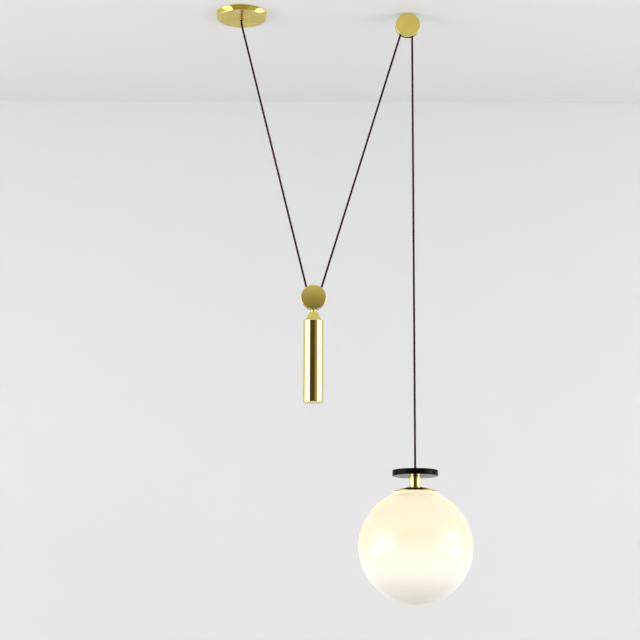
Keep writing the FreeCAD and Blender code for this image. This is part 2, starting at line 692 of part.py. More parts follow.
def globe_glass():
    """Blown opal globe with a short ground collar and an open mouth, in bands of four quarters."""
    radius = globe_radius
    hollow = radius - GLOBE_WALL
    collar = collar_radius
    mouth = mouth_radius
    fillet = GLOBE_COLLAR_FILLET
    reach = radius + fillet
    fillet_r = collar + fillet
    fillet_z = globe_centre + math.sqrt(reach ** 2 - fillet_r ** 2)
    lean = math.degrees(math.atan2(fillet_z - globe_centre, fillet_r))
    fillet_middle = on_circle((fillet_r, fillet_z), fillet, 180 + lean / 2)
    meeting = on_circle((0, globe_centre), radius, lean)
    edge = (collar - GLOBE_COLLAR_EDGE, collar_top - GLOBE_COLLAR_EDGE)
    mouth_z = globe_centre + math.sqrt(hollow ** 2 - mouth ** 2)
    mouth_lean = math.degrees(math.atan2(mouth_z - globe_centre, mouth))
    glass = turned(outline(
        (mouth, collar_top),
        (collar - GLOBE_COLLAR_EDGE, collar_top),
        (on_circle(edge, GLOBE_COLLAR_EDGE, 45), (collar, collar_top - GLOBE_COLLAR_EDGE)),
        (collar, fillet_z),
        (fillet_middle, meeting),
        (on_circle((0, globe_centre), radius, (lean - 90) / 2), (0, globe_centre - radius)),
        (0, globe_centre - hollow),
        (on_circle((0, globe_centre), hollow, (mouth_lean - 90) / 2), (mouth, mouth_z))), lamp_x)
    belt_top = globe_centre + GLOBE_BELT_SHARE * radius
    belt_bottom = globe_centre - GLOBE_BELT_SHARE * radius
    for name, low, high in (("globe_shoulder", belt_top, collar_top),
                            ("globe_belt", belt_bottom, belt_top),
                            ("globe_bowl", globe_centre - radius, belt_bottom)):
        quarters = []
        for number in range(GLOBE_QUARTERS):
            wedge = Part.makeCylinder(GLOBE_DIAMETER, high - low, Vector(lamp_x, 0, low),
                                      Vector(0, 0, 1), TURN / GLOBE_QUARTERS)
            wedge.rotate(Vector(lamp_x, 0, low), Vector(0, 0, 1),
                         GLOBE_SEAM_TURN + number * TURN / GLOBE_QUARTERS)
            quarters.append(glass.common(wedge))
        nodes[name] = Part.makeCompound(quarters)


def round_the_lamp(piece):
    """Copies of one piece, spread evenly round the lamp's axis."""
    copies = []
    for number in range(SPRING_COUNT):
        copy = piece.copy()
        copy.rotate(Vector(lamp_x, 0, 0), Vector(0, 0, 1), 90 + number * TURN / SPRING_COUNT)
        copies.append(copy)
    return Part.makeCompound(copies)


def globe_springs():
    """Bent spring strips that go in through the mouth and hook under the glass."""
    hollow = globe_radius - GLOBE_WALL
    mouth = mouth_radius
    seat = holder_top - SPRING_THICKNESS / 2
    lip = globe_centre + math.sqrt(hollow ** 2 - mouth ** 2)
    crook = mouth + SPRING_CROOK_REACH
    crook_z = globe_centre + math.sqrt((hollow - SPRING_GLASS_GAP) ** 2 - crook ** 2)
    points = [(SPRING_START, seat),
              (carrier_radius - SPRING_BEND_INSET, seat),
              (mouth - SPRING_PASS_GAP, lip - SPRING_PASS_DROP),
              (crook, crook_z),
              (mouth - SPRING_TAIL_GAP, crook_z - SPRING_TAIL)]
    spring = strip(points, SPRING_THICKNESS, SPRING_WIDTH)
    hole = SPRING_SCREW_DIAMETER / 2 + THREAD_CLEARANCE
    spring = spring.cut(rod(hole, SPRING_SCREW_CIRCLE / 2, holder_top - SPRING_THICKNESS, holder_top))
    spring.translate(Vector(lamp_x, 0, 0))
    return round_the_lamp(spring)


def spring_carrier():
    """Steel plate under the cap's hub that the springs are screwed to."""
    plate = tube(carrier_radius, thread_radius, lamp_x, holder_top, carrier_top)
    hole = SPRING_SCREW_DIAMETER / 2 + THREAD_CLEARANCE
    drill = rod(hole, lamp_x + SPRING_SCREW_CIRCLE / 2, holder_top, carrier_top)
    return plate.cut(round_the_lamp(drill))


def spring_screws():
    """One short screw for each spring."""
    x = lamp_x + SPRING_SCREW_CIRCLE / 2
    seat = holder_top - SPRING_THICKNESS
    shank = rod(SPRING_SCREW_DIAMETER / 2, x, seat, carrier_top)
    head = rod(SPRING_HEAD_DIAMETER / 2, x, seat - SPRING_HEAD_HEIGHT, seat)
    return round_the_lamp(shank.fuse(head).removeSplitter())


def lampholder_top():
    """Moulded top half of the lampholder, screwed on the threaded tube."""
    neck = HOLDER_TOP_DIAMETER / 2
    outer = HOLDER_DIAMETER / 2
    slope = holder_top - HOLDER_TOP_SLOPE
    bottom = holder_top - HOLDER_TOP_LENGTH
    roof = holder_top - HOLDER_ROOF
    return turned(outline(
        (thread_radius, holder_top),
        (neck, holder_top),
        (outer, slope),
        (outer, bottom),
        (outer - HOLDER_WALL, bottom),
        (outer - HOLDER_WALL, slope - HOLDER_WALL / 2),
        (neck - HOLDER_WALL / 2, roof),
        (thread_radius, roof)), lamp_x)


def lampholder_body():
    """Moulded lower half: a web for the contact and a sleeve round the screw shell."""
    outer = HOLDER_DIAMETER / 2
    top = holder_top - HOLDER_TOP_LENGTH
    bottom = top - HOLDER_BODY_LENGTH
    web_top = top - HOLDER_WEB_DEPTH
    web_bottom = web_top - HOLDER_WEB
    sleeve = LAMP_BASE_DIAMETER / 2 + SHELL_PLAY + SHELL_THICKNESS + PRESS_CLEARANCE
    lead = HOLDER_LEAD_HOLE / 2
    return turned(outline(
        (lead, web_bottom),
        (lead, web_top),
        (outer - HOLDER_WALL, web_top),
        (outer - HOLDER_WALL, top),
        (outer, top),
        (outer - HOLDER_BODY_TAPER, bottom),
        (sleeve, bottom),
        (sleeve, web_bottom)), lamp_x)


def lamp_bulb():
    """Pear-shaped glass, a shell that stands in the metal base."""
    base = LAMP_BASE_DIAMETER / 2 - LAMP_NECK_INSET
    neck_end = bulb_top - LAMP_NECK_LENGTH
    ball = LAMP_BULB_DIAMETER / 2
    wall = LAMP_BULB_WALL
    top = bulb_top
    centre = top - LAMP_BULB_LENGTH + ball
    lean = LAMP_BULB_LEAN
    start = on_circle((0, centre), ball, lean)
    inner_start = on_circle((0, centre), ball - wall, lean)
    neck_middle = ((base + start[0]) / 2 - LAMP_NECK_WAIST, (neck_end + start[1]) / 2)
    inner_middle = (neck_middle[0] - wall, neck_middle[1])
    return turned(outline(
        (base, top),
        (base, neck_end),
        (neck_middle, start),
        (on_circle((0, centre), ball, (lean - 90) / 2), (0, centre - ball)),
        (0, centre - ball + wall),
        (on_circle((0, centre), ball - wall, (lean - 90) / 2), inner_start),
        (inner_middle, (base - wall, neck_end)),
        (base - wall, top)), lamp_x)


def lamp_base():
    """Plated screw base of the bulb, with its end contact."""
    outer = LAMP_BASE_DIAMETER / 2
    bottom = base_top - LAMP_BASE_LENGTH
    cup = outer - LAMP_NECK_INSET + THREAD_CLEARANCE
    return turned(outline(
        (0, base_top + LAMP_BASE_TIP),
        (CONTACT_DIAMETER / 2, base_top + LAMP_BASE_TIP),
        (outer - LAMP_BASE_CHAMFER, base_top),
        (outer, base_top - LAMP_BASE_CHAMFER),
        (outer, bottom),
        (cup, bottom),
        (cup, bulb_top),
        (0, bulb_top)), lamp_x)


def lamp():
    """Disc, stem, cap, glass and the electrical pieces, stacked on one threaded tube."""
    tube_top = disc_top - DISC_NUT_ROOF
    nodes["black_disc"] = black_disc()
    nodes["disc_nut"] = disc_nut()
    nodes["lamp_tube"] = tube(tube_radius, TUBE_BORE / 2, lamp_x, lamp_tube_bottom, tube_top)
    nodes["stem"] = tube(STEM_DIAMETER / 2, thread_radius, lamp_x, stem_bottom, disc_bottom)
    nodes["fitter_cap"] = fitter_cap()
    nodes["cap_gasket"] = tube(gasket_outer, gasket_inner, lamp_x, collar_top, cap_bottom)
    nodes["spring_carrier"] = spring_carrier()
    nodes["globe_springs"] = globe_springs()
    nodes["spring_screws"] = spring_screws()
    globe_glass()
    nodes["lampholder_top"] = lampholder_top()
    nut_top = holder_top - HOLDER_ROOF
    nodes["lamp_tube_nut"] = hex_nut(NUT_ACROSS_FLATS, thread_radius, lamp_x,
                                     nut_top - NUT_THICKNESS, nut_top)
    nodes["lamp_cord_anchor"] = tube(ANCHOR_DIAMETER / 2, cord_radius + PRESS_CLEARANCE, lamp_x,
                                     lamp_tube_bottom - ANCHOR_LENGTH, lamp_tube_bottom)
    nodes["lamp_cord_tail"] = rod(cord_radius, lamp_x, lamp_tube_bottom - ANCHOR_LENGTH, disc_top)
    nodes["lampholder_body"] = lampholder_body()
    shell = LAMP_BASE_DIAMETER / 2 + SHELL_PLAY
    nodes["lampholder_shell"] = tube(shell + SHELL_THICKNESS, shell, lamp_x,
                                     web_under - SHELL_LENGTH, web_under)
    nodes["lampholder_contact"] = rod(CONTACT_DIAMETER / 2, lamp_x, web_under - CONTACT_HEIGHT,
                                      web_under)
    nodes["bulb_base"] = lamp_base()
    nodes["bulb_glass"] = lamp_bulb()


# ---------------------------------------------------------------- cord

def tangent_point(centre, point, side):
    """Where a taut line from point touches the cord circle round centre.
    side is 1 where the touching point lies left of the direction of travel, -1 right."""
    run = (centre[0] - point[0], centre[1] - point[1])
    distance = math.hypot(*run)
    swing = math.acos(CORD_PITCH_RADIUS / distance)
    back = math.atan2(-run[1], -run[0])
    return on_circle(centre, CORD_PITCH_RADIUS, math.degrees(back - side * swing))


def cord_tube(points, radius):
    """Tube along straight runs with a tangent arc at each inner point."""
    edges = []
    here = Vector(points[0][0], 0, points[0][1])
    for place in range(1, len(points) - 1):
        before = Vector(points[place - 1][0], 0, points[place - 1][1])
        corner = Vector(points[place][0], 0, points[place][1])
        after = Vector(points[place + 1][0], 0, points[place + 1][1])
        run_in = (corner - before).normalize()
        run_out = (after - corner).normalize()
        turn = run_in.getAngle(run_out)
        shorter = min(corner.distanceToPoint(before), corner.distanceToPoint(after))
        setback = CORD_BEND_SHARE * shorter
        bend = setback / math.tan(turn / 2)
        start = corner - run_in * setback
        end = corner + run_out * setback
        inward = (run_out - run_in).normalize()
        middle = corner + inward * (bend / math.cos(turn / 2) - bend)
        edges.append(Part.LineSegment(here, start).toShape())
        edges.append(Part.Arc(start, middle, end).toShape())
        print("cord bend radius %.1f mm, turn %.1f degrees" % (bend, math.degrees(turn)))
        here = end
    edges.append(Part.LineSegment(here, Vector(points[-1][0], 0, points[-1][1])).toShape())
    path = Part.Wire(edges)
    first = Vector(points[1][0] - points[0][0], 0, points[1][1] - points[0][1])
    ring = Part.makeCircle(radius, Vector(points[0][0], 0, points[0][1]), first)
    solid = path.makePipe(Part.Face(Part.Wire([ring])))
    ideal = math.pi * radius ** 2 * path.Length
    print("cord tube length %.1f mm, volume / ideal %.4f" % (path.Length, solid.Volume / ideal))
    return solid, path.Length


def cord_wrap(centre, start, end, clockwise):
    """Part of a ring: the cord where it lies in a sheave's groove."""
    first = math.degrees(math.atan2(start[1] - centre[1], start[0] - centre[0]))
    last = math.degrees(math.atan2(end[1] - centre[1], end[0] - centre[0]))
    sweep = (first - last) % TURN if clockwise else (last - first) % TURN
    along = Vector(-(start[1] - centre[1]), 0, start[0] - centre[0])
    ring = Part.makeCircle(cord_radius, Vector(start[0], 0, start[1]), along)
    face = Part.Face(Part.Wire([ring]))
    axis = Vector(0, 1 if clockwise else -1, 0)
    solid = face.revolve(Vector(centre[0], 0, centre[1]), axis, sweep)
    print("cord wrap radius %.1f mm, %.1f degrees" % (CORD_PITCH_RADIUS, sweep))
    return solid, math.radians(sweep) * CORD_PITCH_RADIUS


def cord():
    """The one cord: canopy, under the counterweight, over the ceiling pulley, down to the lamp."""
    weight_axle = (WEIGHT_OFFSET, weight_axle_z)
    pulley_axle = (PULLEY_SPACING, pulley_axle_z)
    leave = (0.0, grip_bottom)
    bend = (0.0, grip_bottom - CORD_FIRST_RUN)
    weight_in = tangent_point(weight_axle, bend, -1)
    # the run between the two sheaves crosses the line of their axles half way
    crossing = ((weight_axle[0] + pulley_axle[0]) / 2, (weight_axle[1] + pulley_axle[1]) / 2)
    weight_out = tangent_point(weight_axle, crossing, 1)
    pulley_in = tangent_point(pulley_axle, crossing, 1)
    pulley_out = (PULLEY_SPACING + CORD_PITCH_RADIUS, pulley_axle_z)
    lengths = []
    nodes["cord_canopy_run"], length = cord_tube([leave, bend, weight_in], cord_radius)
    lengths.append(length)
    nodes["cord_under_weight"], length = cord_wrap(weight_axle, weight_in, weight_out, False)
    lengths.append(length)
    nodes["cord_pulley_run"], length = cord_tube([weight_out, pulley_in], cord_radius)
    lengths.append(length)
    nodes["cord_over_pulley"], length = cord_wrap(pulley_axle, pulley_in, pulley_out, True)
    lengths.append(length)
    nodes["cord_drop"], length = cord_tube([pulley_out, (lamp_x, disc_top)], cord_radius)
    lengths.append(length)
    print("cord lengths", [round(length, 1) for length in lengths], "total", round(sum(lengths), 1))
    for name, point in (("bend", bend), ("weight in", weight_in), ("weight out", weight_out),
                        ("pulley in", pulley_in), ("pulley out", pulley_out)):
        print("cord point", name, round(point[0], 2), round(point[1], 2))


canopy()
ceiling_pulley()
counterweight()
lamp()
cord()

for name, shape in nodes.items():
    shape.exportStep(os.path.join("parts", name + ".step"))
print(len(nodes), "nodes, globe centre", round(globe_centre, 1), "shell bottom", round(shell_bottom, 1))
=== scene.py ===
from math import asin, cos, pi, radians, sin, sqrt, tan

import bmesh
import bpy
from mathutils import Matrix, Vector


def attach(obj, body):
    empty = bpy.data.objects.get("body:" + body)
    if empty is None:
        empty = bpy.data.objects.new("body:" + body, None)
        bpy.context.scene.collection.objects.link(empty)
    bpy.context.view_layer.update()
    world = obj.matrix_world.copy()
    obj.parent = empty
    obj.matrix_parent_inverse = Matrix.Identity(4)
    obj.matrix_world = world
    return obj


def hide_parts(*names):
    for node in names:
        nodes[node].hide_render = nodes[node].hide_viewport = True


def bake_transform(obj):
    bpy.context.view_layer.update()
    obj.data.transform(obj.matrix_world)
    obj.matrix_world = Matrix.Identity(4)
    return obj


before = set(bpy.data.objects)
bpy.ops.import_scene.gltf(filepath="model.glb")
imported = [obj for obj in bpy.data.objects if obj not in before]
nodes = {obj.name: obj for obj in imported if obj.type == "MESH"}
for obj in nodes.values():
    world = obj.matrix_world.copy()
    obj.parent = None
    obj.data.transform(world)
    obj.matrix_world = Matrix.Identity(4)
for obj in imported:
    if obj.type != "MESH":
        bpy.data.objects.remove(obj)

# ---------------------------------------------------------------- canopy
# A shallow brass pan, spun from sheet, that covers the ceiling box. Its wide underside is brushed
# satin and its rolled edge is left bright. A strap behind it is screwed to the box, and a threaded
# tube with two nuts pulls the pan up to the ceiling.

MM = 0.001
SIDES = 144                     # facets round a turned piece
FILLET_STEPS = 6
SUPPORT = 0.25                  # mm of flat kept true beside a fillet
SHARP = radians(32)

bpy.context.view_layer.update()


def rounded(corners):
    """Outline of a turned piece from (radius, height, fillet) corners in mm."""
    line = []
    for place, (radius, height, fillet) in enumerate(corners):
        here = Vector((radius, height))
        if not fillet:
            line.append(here)
            continue
        before = (Vector(corners[place - 1][:2]) - here).normalized()
        after = (Vector(corners[(place + 1) % len(corners)][:2]) - here).normalized()
        half = before.angle(after) / 2
        reach = fillet / tan(half)
        centre = here + (before + after).normalized() * fillet / sin(half)
        start, end = here + before * reach, here + after * reach
        line.append(start + before * SUPPORT)
        first, last = (start - centre).normalized(), (end - centre).normalized()
        for step in range(FILLET_STEPS + 1):
            line.append(centre + first.slerp(last, step / FILLET_STEPS) * fillet)
        line.append(end + after * SUPPORT)
    return line


def turned(corners, centre, across=False):
    """Spins an outline about an upright line, or about a level axle that runs away from the viewer."""
    mesh = bmesh.new()
    rings = []
    for radius, height in rounded(corners):
        ring = []
        for side in range(SIDES if radius > 1e-6 else 1):
            angle = 2 * pi * side / SIDES
            out, up = radius * cos(angle), radius * sin(angle)
            spot = (out, height, up) if across else (out, up, height)
            ring.append(mesh.verts.new((Vector(centre) + Vector(spot)) * MM))
        rings.append(ring)
    for ring, after in zip(rings, rings[1:] + rings[:1]):
        for side in range(SIDES if len(ring) + len(after) > 2 else 0):
            here, there = side, (side + 1) % SIDES
            face = [ring[here % len(ring)], ring[there % len(ring)],
                    after[there % len(after)], after[here % len(after)]]
            mesh.faces.new(list(dict.fromkeys(face)))
    bmesh.ops.recalc_face_normals(mesh, faces=mesh.faces)
    return mesh


def fit(name, mesh, body, material, slot, *replaced):
    """Makes a finished mesh a piece that rides on its body in place of its CAD nodes."""
    if isinstance(mesh, bmesh.types.BMesh):
        data = bpy.data.meshes.new(name)
        mesh.to_mesh(data)
        mesh.free()
    else:
        data = mesh
    data.shade_smooth()
    data.set_sharp_from_angle(angle=SHARP)
    if not data.materials:
        data.materials.append(material)
    piece = bpy.data.objects.new(name, data)
    bpy.context.scene.collection.objects.link(piece)
    if body:
        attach(piece, body)
    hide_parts(*replaced)
    return piece


def second_finish(piece, material, chosen):
    """Gives some faces of a piece another finish; chosen judges a face's centre in mm."""
    piece.data.materials.append(material)
    slot = len(piece.data.materials) - 1
    for face in piece.data.polygons:
        if chosen(face.center / MM):
            face.material_index = slot


def linear(colour):
    """A hex sRGB colour as the linear RGBA that a shader socket takes."""
    parts = [int(colour[i:i + 2], 16) / 255 for i in (1, 3, 5)]
    return tuple(c / 12.92 if c <= 0.04045 else ((c + 0.055) / 1.055) ** 2.4 for c in parts) + (1,)


def add(tree, kind, inputs=None, **settings):
    """Adds a node with its settings; each input takes a value, a socket or a node."""
    node = tree.nodes.new(kind)
    for setting, value in settings.items():
        setattr(node, setting, value)
    for name, source in (inputs or {}).items():
        if isinstance(source, bpy.types.Node):
            source = next(socket for socket in source.outputs if socket.enabled)
        if isinstance(source, bpy.types.NodeSocket):
            tree.links.new(source, node.inputs[name])
        else:
            node.inputs[name].default_value = source
    return node


def mixed(tree, share, first, second):
    """The colour between two hex colours; share is what says how far."""
    return add(tree, "ShaderNodeMix", {0: share, 6: linear(first), 7: linear(second)},
               data_type="RGBA").outputs[2]


def surface_of(tree, shader, **sources):
    """Links sockets or nodes to the shader's inputs."""
    for socket, source in sources.items():
        source = source.outputs[0] if isinstance(source, bpy.types.Node) else source
        tree.links.new(source, shader.inputs[socket.replace("_", " ")])


def new_material(name, **uniform):
    """An empty material with its shader; uniform values go straight on the shader's sockets."""
    material = bpy.data.materials.new(name)
    material.use_nodes = True
    tree = material.node_tree
    shader = tree.nodes["Principled BSDF"]
    for socket, value in uniform.items():
        shader.inputs[socket.replace("_", " ")].default_value = value
    return material, tree, shader


def brass(name, centre, across, light, dark, smooth, rough, relief, line):
    """Turned or spun brass: cutter lines run round the axis, and handling leaves a faint patina."""
    material, tree, shader = new_material(name, Metallic=1.0)
    spot = add(tree, "ShaderNodeMapping", {
        "Vector": add(tree, "ShaderNodeTexCoord").outputs["Object"],
        "Location": tuple(-c * MM for c in centre)})
    flat = (1, 0, 1) if across else (1, 1, 0)
    upright = (0, 1, 0) if across else (0, 0, 1)
    radius = add(tree, "ShaderNodeVectorMath", {
        0: add(tree, "ShaderNodeVectorMath", {0: spot, 1: flat}, operation="MULTIPLY")},
        operation="LENGTH")
    height = add(tree, "ShaderNodeVectorMath", {0: spot, 1: upright}, operation="DOT_PRODUCT")
    place = add(tree, "ShaderNodeCombineXYZ", {"X": radius.outputs["Value"],
                                               "Y": height.outputs["Value"]})
    cuts = add(tree, "ShaderNodeTexNoise", {"Vector": place, "Scale": 1 / (line * MM),
                                            "Detail": 3.0, "Roughness": 0.6})
    patina = add(tree, "ShaderNodeTexNoise", {"Vector": spot, "Scale": 1 / (30 * MM),
                                              "Detail": 3.0, "Roughness": 0.5})
    tarnish = add(tree, "ShaderNodeMapRange", {"Value": patina, "From Min": 0.35, "From Max": 0.75})
    colour = mixed(tree, tarnish, light, dark)
    worn = add(tree, "ShaderNodeMath", {0: cuts, 1: 0.5, 2: patina}, operation="MULTIPLY_ADD")
    finish = add(tree, "ShaderNodeMapRange", {"Value": worn, "From Min": 0.55, "From Max": 0.95,
                                              "To Min": smooth, "To Max": rough})
    bump = add(tree, "ShaderNodeBump", {"Height": cuts, "Strength": relief, "Distance": 0.05 * MM})
    surface_of(tree, shader, Base_Color=colour, Roughness=finish, Normal=bump)
    return material


def finish_node(material, *names):
    """Gives a carried-over CAD node its material."""
    for name in names:
        data = nodes[name].data
        data.materials.clear()
        data.materials.append(material)


CANOPY_RADIUS, CANOPY_DEPTH, CANOPY_WALL, CANOPY_EDGE = 63.5, 15.0, 1.2, 1.2
CANOPY_DRAFT = 2.0              # how far the pan's side leans in towards its underside
TUBE_HOLE = 5.05
CORD_HOLE = 2.6
GRIP_RADIUS, GRIP_HEIGHT, GRIP_LIP = 6.0, 4.5, 1.5

# Satin brass, spun and brushed: soft broad reflections, faint rings from the spinning tool.
canopy_brass = brass("Satin brass spun canopy", (0, 0, 0), False, "#DAC76A", "#D0BD5F",
                     0.26, 0.34, 0.3, 1.4)
canopy_edge = brass("Polished brass canopy edge", (0, 0, 0), False, "#E6DA8C", "#E2D074",
                    0.08, 0.14, 0.1, 1.4)
pan = fit("canopy_pan", turned([
    (TUBE_HOLE, -CANOPY_DEPTH, 0),
    (CANOPY_RADIUS - CANOPY_DRAFT, -CANOPY_DEPTH, CANOPY_EDGE),
    (CANOPY_RADIUS, 0, 0.3),
    (CANOPY_RADIUS - CANOPY_WALL, 0, 0.3),
    (CANOPY_RADIUS - CANOPY_DRAFT - CANOPY_WALL, CANOPY_WALL - CANOPY_DEPTH, 0.6),
    (TUBE_HOLE, CANOPY_WALL - CANOPY_DEPTH, 0)], (0, 0, 0)),
    "ceiling_fixing", canopy_brass, "satin_brass", "canopy_shell")
second_finish(pan, canopy_edge,
              lambda spot: spot.xy.length > CANOPY_RADIUS - CANOPY_DRAFT - CANOPY_EDGE / 2)

# Polished brass, buffed and lacquered: sharp reflections, a little softened by fine wipe marks.
grip_brass = brass("Polished brass cord grip", (0, 0, 0), False, "#B59C55", "#A38A46",
                   0.12, 0.20, 0.15, 0.8)
fit("cord_grip", turned([
    (CORD_HOLE, -CANOPY_DEPTH - GRIP_HEIGHT, 0.25),
    (GRIP_RADIUS, -CANOPY_DEPTH - GRIP_HEIGHT, 0.9),
    (GRIP_RADIUS, -CANOPY_DEPTH, 0.2),
    (TUBE_HOLE, -CANOPY_DEPTH, 0),
    (TUBE_HOLE, -CANOPY_DEPTH - GRIP_HEIGHT + GRIP_LIP, 0),
    (CORD_HOLE, -CANOPY_DEPTH - GRIP_HEIGHT + GRIP_LIP, 0)], (0, 0, 0)),
    "ceiling_fixing", grip_brass, "polished_brass", "canopy_cord_grip")


def plain_metal(name, light, dark, grain, smooth, rough, relief):
    """Metal that is cut, pressed or plated all over: a mottle of the given grain in mm."""
    material, tree, shader = new_material(name, Metallic=1.0)
    spot = add(tree, "ShaderNodeTexCoord").outputs["Object"]
    mottle = add(tree, "ShaderNodeTexNoise", {"Vector": spot, "Scale": 1 / (grain * MM),
                                              "Detail": 5.0, "Roughness": 0.6})
    colour = mixed(tree, mottle, light, dark)
    finish = add(tree, "ShaderNodeMapRange", {"Value": mottle, "From Min": 0.3, "From Max": 0.7,
                                              "To Min": smooth, "To Max": rough})
    bump = add(tree, "ShaderNodeBump", {"Height": mottle, "Strength": relief,
                                        "Distance": 0.05 * MM})
    surface_of(tree, shader, Base_Color=colour, Roughness=finish, Normal=bump)
    return material


# Zinc-plated steel: pale blue-grey spangle, fairly bright. Sawn brass: dull yellow, fine cut marks.
zinc = plain_metal("Zinc plated steel", "#C9CDD1", "#A7ADB3", 2.5, 0.28, 0.42, 0.2)
sawn_brass = plain_metal("Machined brass tube", "#D8C070", "#BFA452", 1.2, 0.3, 0.42, 0.25)
finish_node(zinc, "canopy_crossbar", "ground_screw", "canopy_tube_nuts", "canopy_cord_anchor")
finish_node(sawn_brass, "canopy_tube")

# ---------------------------------------------------------------- pulleys
# Two turned brass discs with a grooved wheel in the gap between them. The faces are satin with a
# slightly dished border, and the rims are polished. The wheel runs in a bronze bush on a shoulder
# screw, and two countersunk screws from behind hold the discs to a block.

CHEEK_RADIUS, CHEEK_THICKNESS, CHEEK_HALF_GAP = 31.0, 5.0, 3.5
CHEEK_BORDER, CHEEK_DISH, CHEEK_EDGE = 28.6, 0.35, 1.2
AXLE_HEAD, AXLE_HEAD_HEIGHT, AXLE_HOLE = 5.05, 2.0, 2.55
SCREW_SPACING, SCREW_OFFSET = 10.0, 23.5
SCREW_HEAD, SCREW_SHANK = 3.0, 1.5
SCREW_BITE = 3.0                # how far a screw reaches into the front disc
SCREW_TURN = 0.9                # radians either way that the slots happen to stand
SLOT_WIDTH, SLOT_DEPTH = 0.8, 0.7
CEILING_AXLE = (420.5, 0, -32.0)
WEIGHT_AXLE = (186.0, 0, -735.0)


def cheek(axle, side):
    """One disc: side is -1 for the plain front one and 1 for the rear one with the axle's seat."""
    inner = side * CHEEK_HALF_GAP
    face = side * (CHEEK_HALF_GAP + CHEEK_THICKNESS)
    border = [(CHEEK_BORDER, face, 0), (CHEEK_RADIUS, face - side * CHEEK_DISH, CHEEK_EDGE)]
    rim = [(CHEEK_RADIUS, inner, 0.3)]
    if side < 0:
        return turned([(0, face, 0)] + border + rim + [(0, inner, 0)], axle, across=True)
    seat = [(AXLE_HOLE, inner, 0), (AXLE_HOLE, face - AXLE_HEAD_HEIGHT, 0),
            (AXLE_HEAD, face - AXLE_HEAD_HEIGHT, 0), (AXLE_HEAD, face, 0.2)]
    return turned(seat + border + rim, axle, across=True)


def screw_blank():
    """A countersunk screw along +Y from its flat, with a sawn slot."""
    length = CHEEK_THICKNESS + 2 * CHEEK_HALF_GAP + SCREW_BITE
    corners = [(0, 0, 0), (SCREW_HEAD, 0, 0.12), (SCREW_SHANK, -(SCREW_HEAD - SCREW_SHANK), 0),
               (SCREW_SHANK, -length, 0), (0, -length, 0)]
    body = fit("screw_blank", turned(corners, (0, 0, 0), across=True), None, zinc, "zinc_steel")
    cutter = bmesh.new()
    bmesh.ops.create_cube(cutter, size=1.0)
    bmesh.ops.scale(cutter, verts=cutter.verts,
                    vec=(3 * SCREW_HEAD * MM, 2 * SLOT_DEPTH * MM, SLOT_WIDTH * MM))
    data = bpy.data.meshes.new("slot_cutter")
    cutter.to_mesh(data)
    cutter.free()
    tool = bpy.data.objects.new("slot_cutter", data)
    bpy.context.scene.collection.objects.link(tool)
    cut = body.modifiers.new("slot", "BOOLEAN")
    cut.operation, cut.solver, cut.object = "DIFFERENCE", "EXACT", tool
    solid = bpy.data.meshes.new_from_object(
        body.evaluated_get(bpy.context.evaluated_depsgraph_get()))
    for spare in (body, tool):
        bpy.data.objects.remove(spare)
    return solid


def new_tree(name, *sockets):
    """A Geometry Nodes tree with its named inputs, given as (name, kind, value)."""
    tree = bpy.data.node_groups.new(name, "GeometryNodeTree")
    tree.interface.new_socket("Geometry", in_out="OUTPUT", socket_type="NodeSocketGeometry")
    tree.interface.new_socket("Geometry", in_out="INPUT", socket_type="NodeSocketGeometry")
    for label, kind, value in sockets:
        socket = tree.interface.new_socket(label, in_out="INPUT", socket_type="NodeSocket" + kind)
        if value is not None:
            socket.default_value = value
    return tree, add(tree, "NodeGroupInput"), add(tree, "NodeGroupOutput")


def grown(data, tree, **values):
    """Runs a tree on a mesh and returns the result as a plain mesh."""
    holder = bpy.data.objects.new("holder", data)
    bpy.context.scene.collection.objects.link(holder)
    modifier = holder.modifiers.new("grow", "NODES")
    modifier.node_group = tree
    for socket in tree.interface.items_tree:
        if socket.in_out == "INPUT" and socket.name.replace(" ", "_") in values:
            modifier[socket.identifier] = values[socket.name.replace(" ", "_")]
    holder.update_tag()
    result = bpy.data.meshes.new_from_object(
        holder.evaluated_get(bpy.context.evaluated_depsgraph_get()))
    bpy.data.objects.remove(holder)
    return result


# The screws are one blank, repeated along a line.
screw_row, ins, outs = new_tree("Screw row", ("Count", "Int", 2), ("Start", "Vector", None),
                                ("Step", "Vector", None), ("Metal", "Material", None))
row = add(screw_row, "GeometryNodeMeshLine", {
    "Count": ins.outputs["Count"], "Start Location": ins.outputs["Start"],
    "Offset": ins.outputs["Step"]})
turn = add(screw_row, "FunctionNodeRandomValue", {2: -SCREW_TURN, 3: SCREW_TURN, "Seed": 7},
           data_type="FLOAT")
aim = add(screw_row, "ShaderNodeCombineXYZ", {"Y": turn.outputs[1]})
screws = add(screw_row, "GeometryNodeInstanceOnPoints", {
    "Points": row, "Instance": ins.outputs["Geometry"], "Rotation": aim})
real = add(screw_row, "GeometryNodeRealizeInstances", {"Geometry": screws})
metal = add(screw_row, "GeometryNodeSetMaterial", {"Geometry": real,
                                                   "Material": ins.outputs["Metal"]})
screw_row.links.new(metal.outputs[0], outs.inputs["Geometry"])

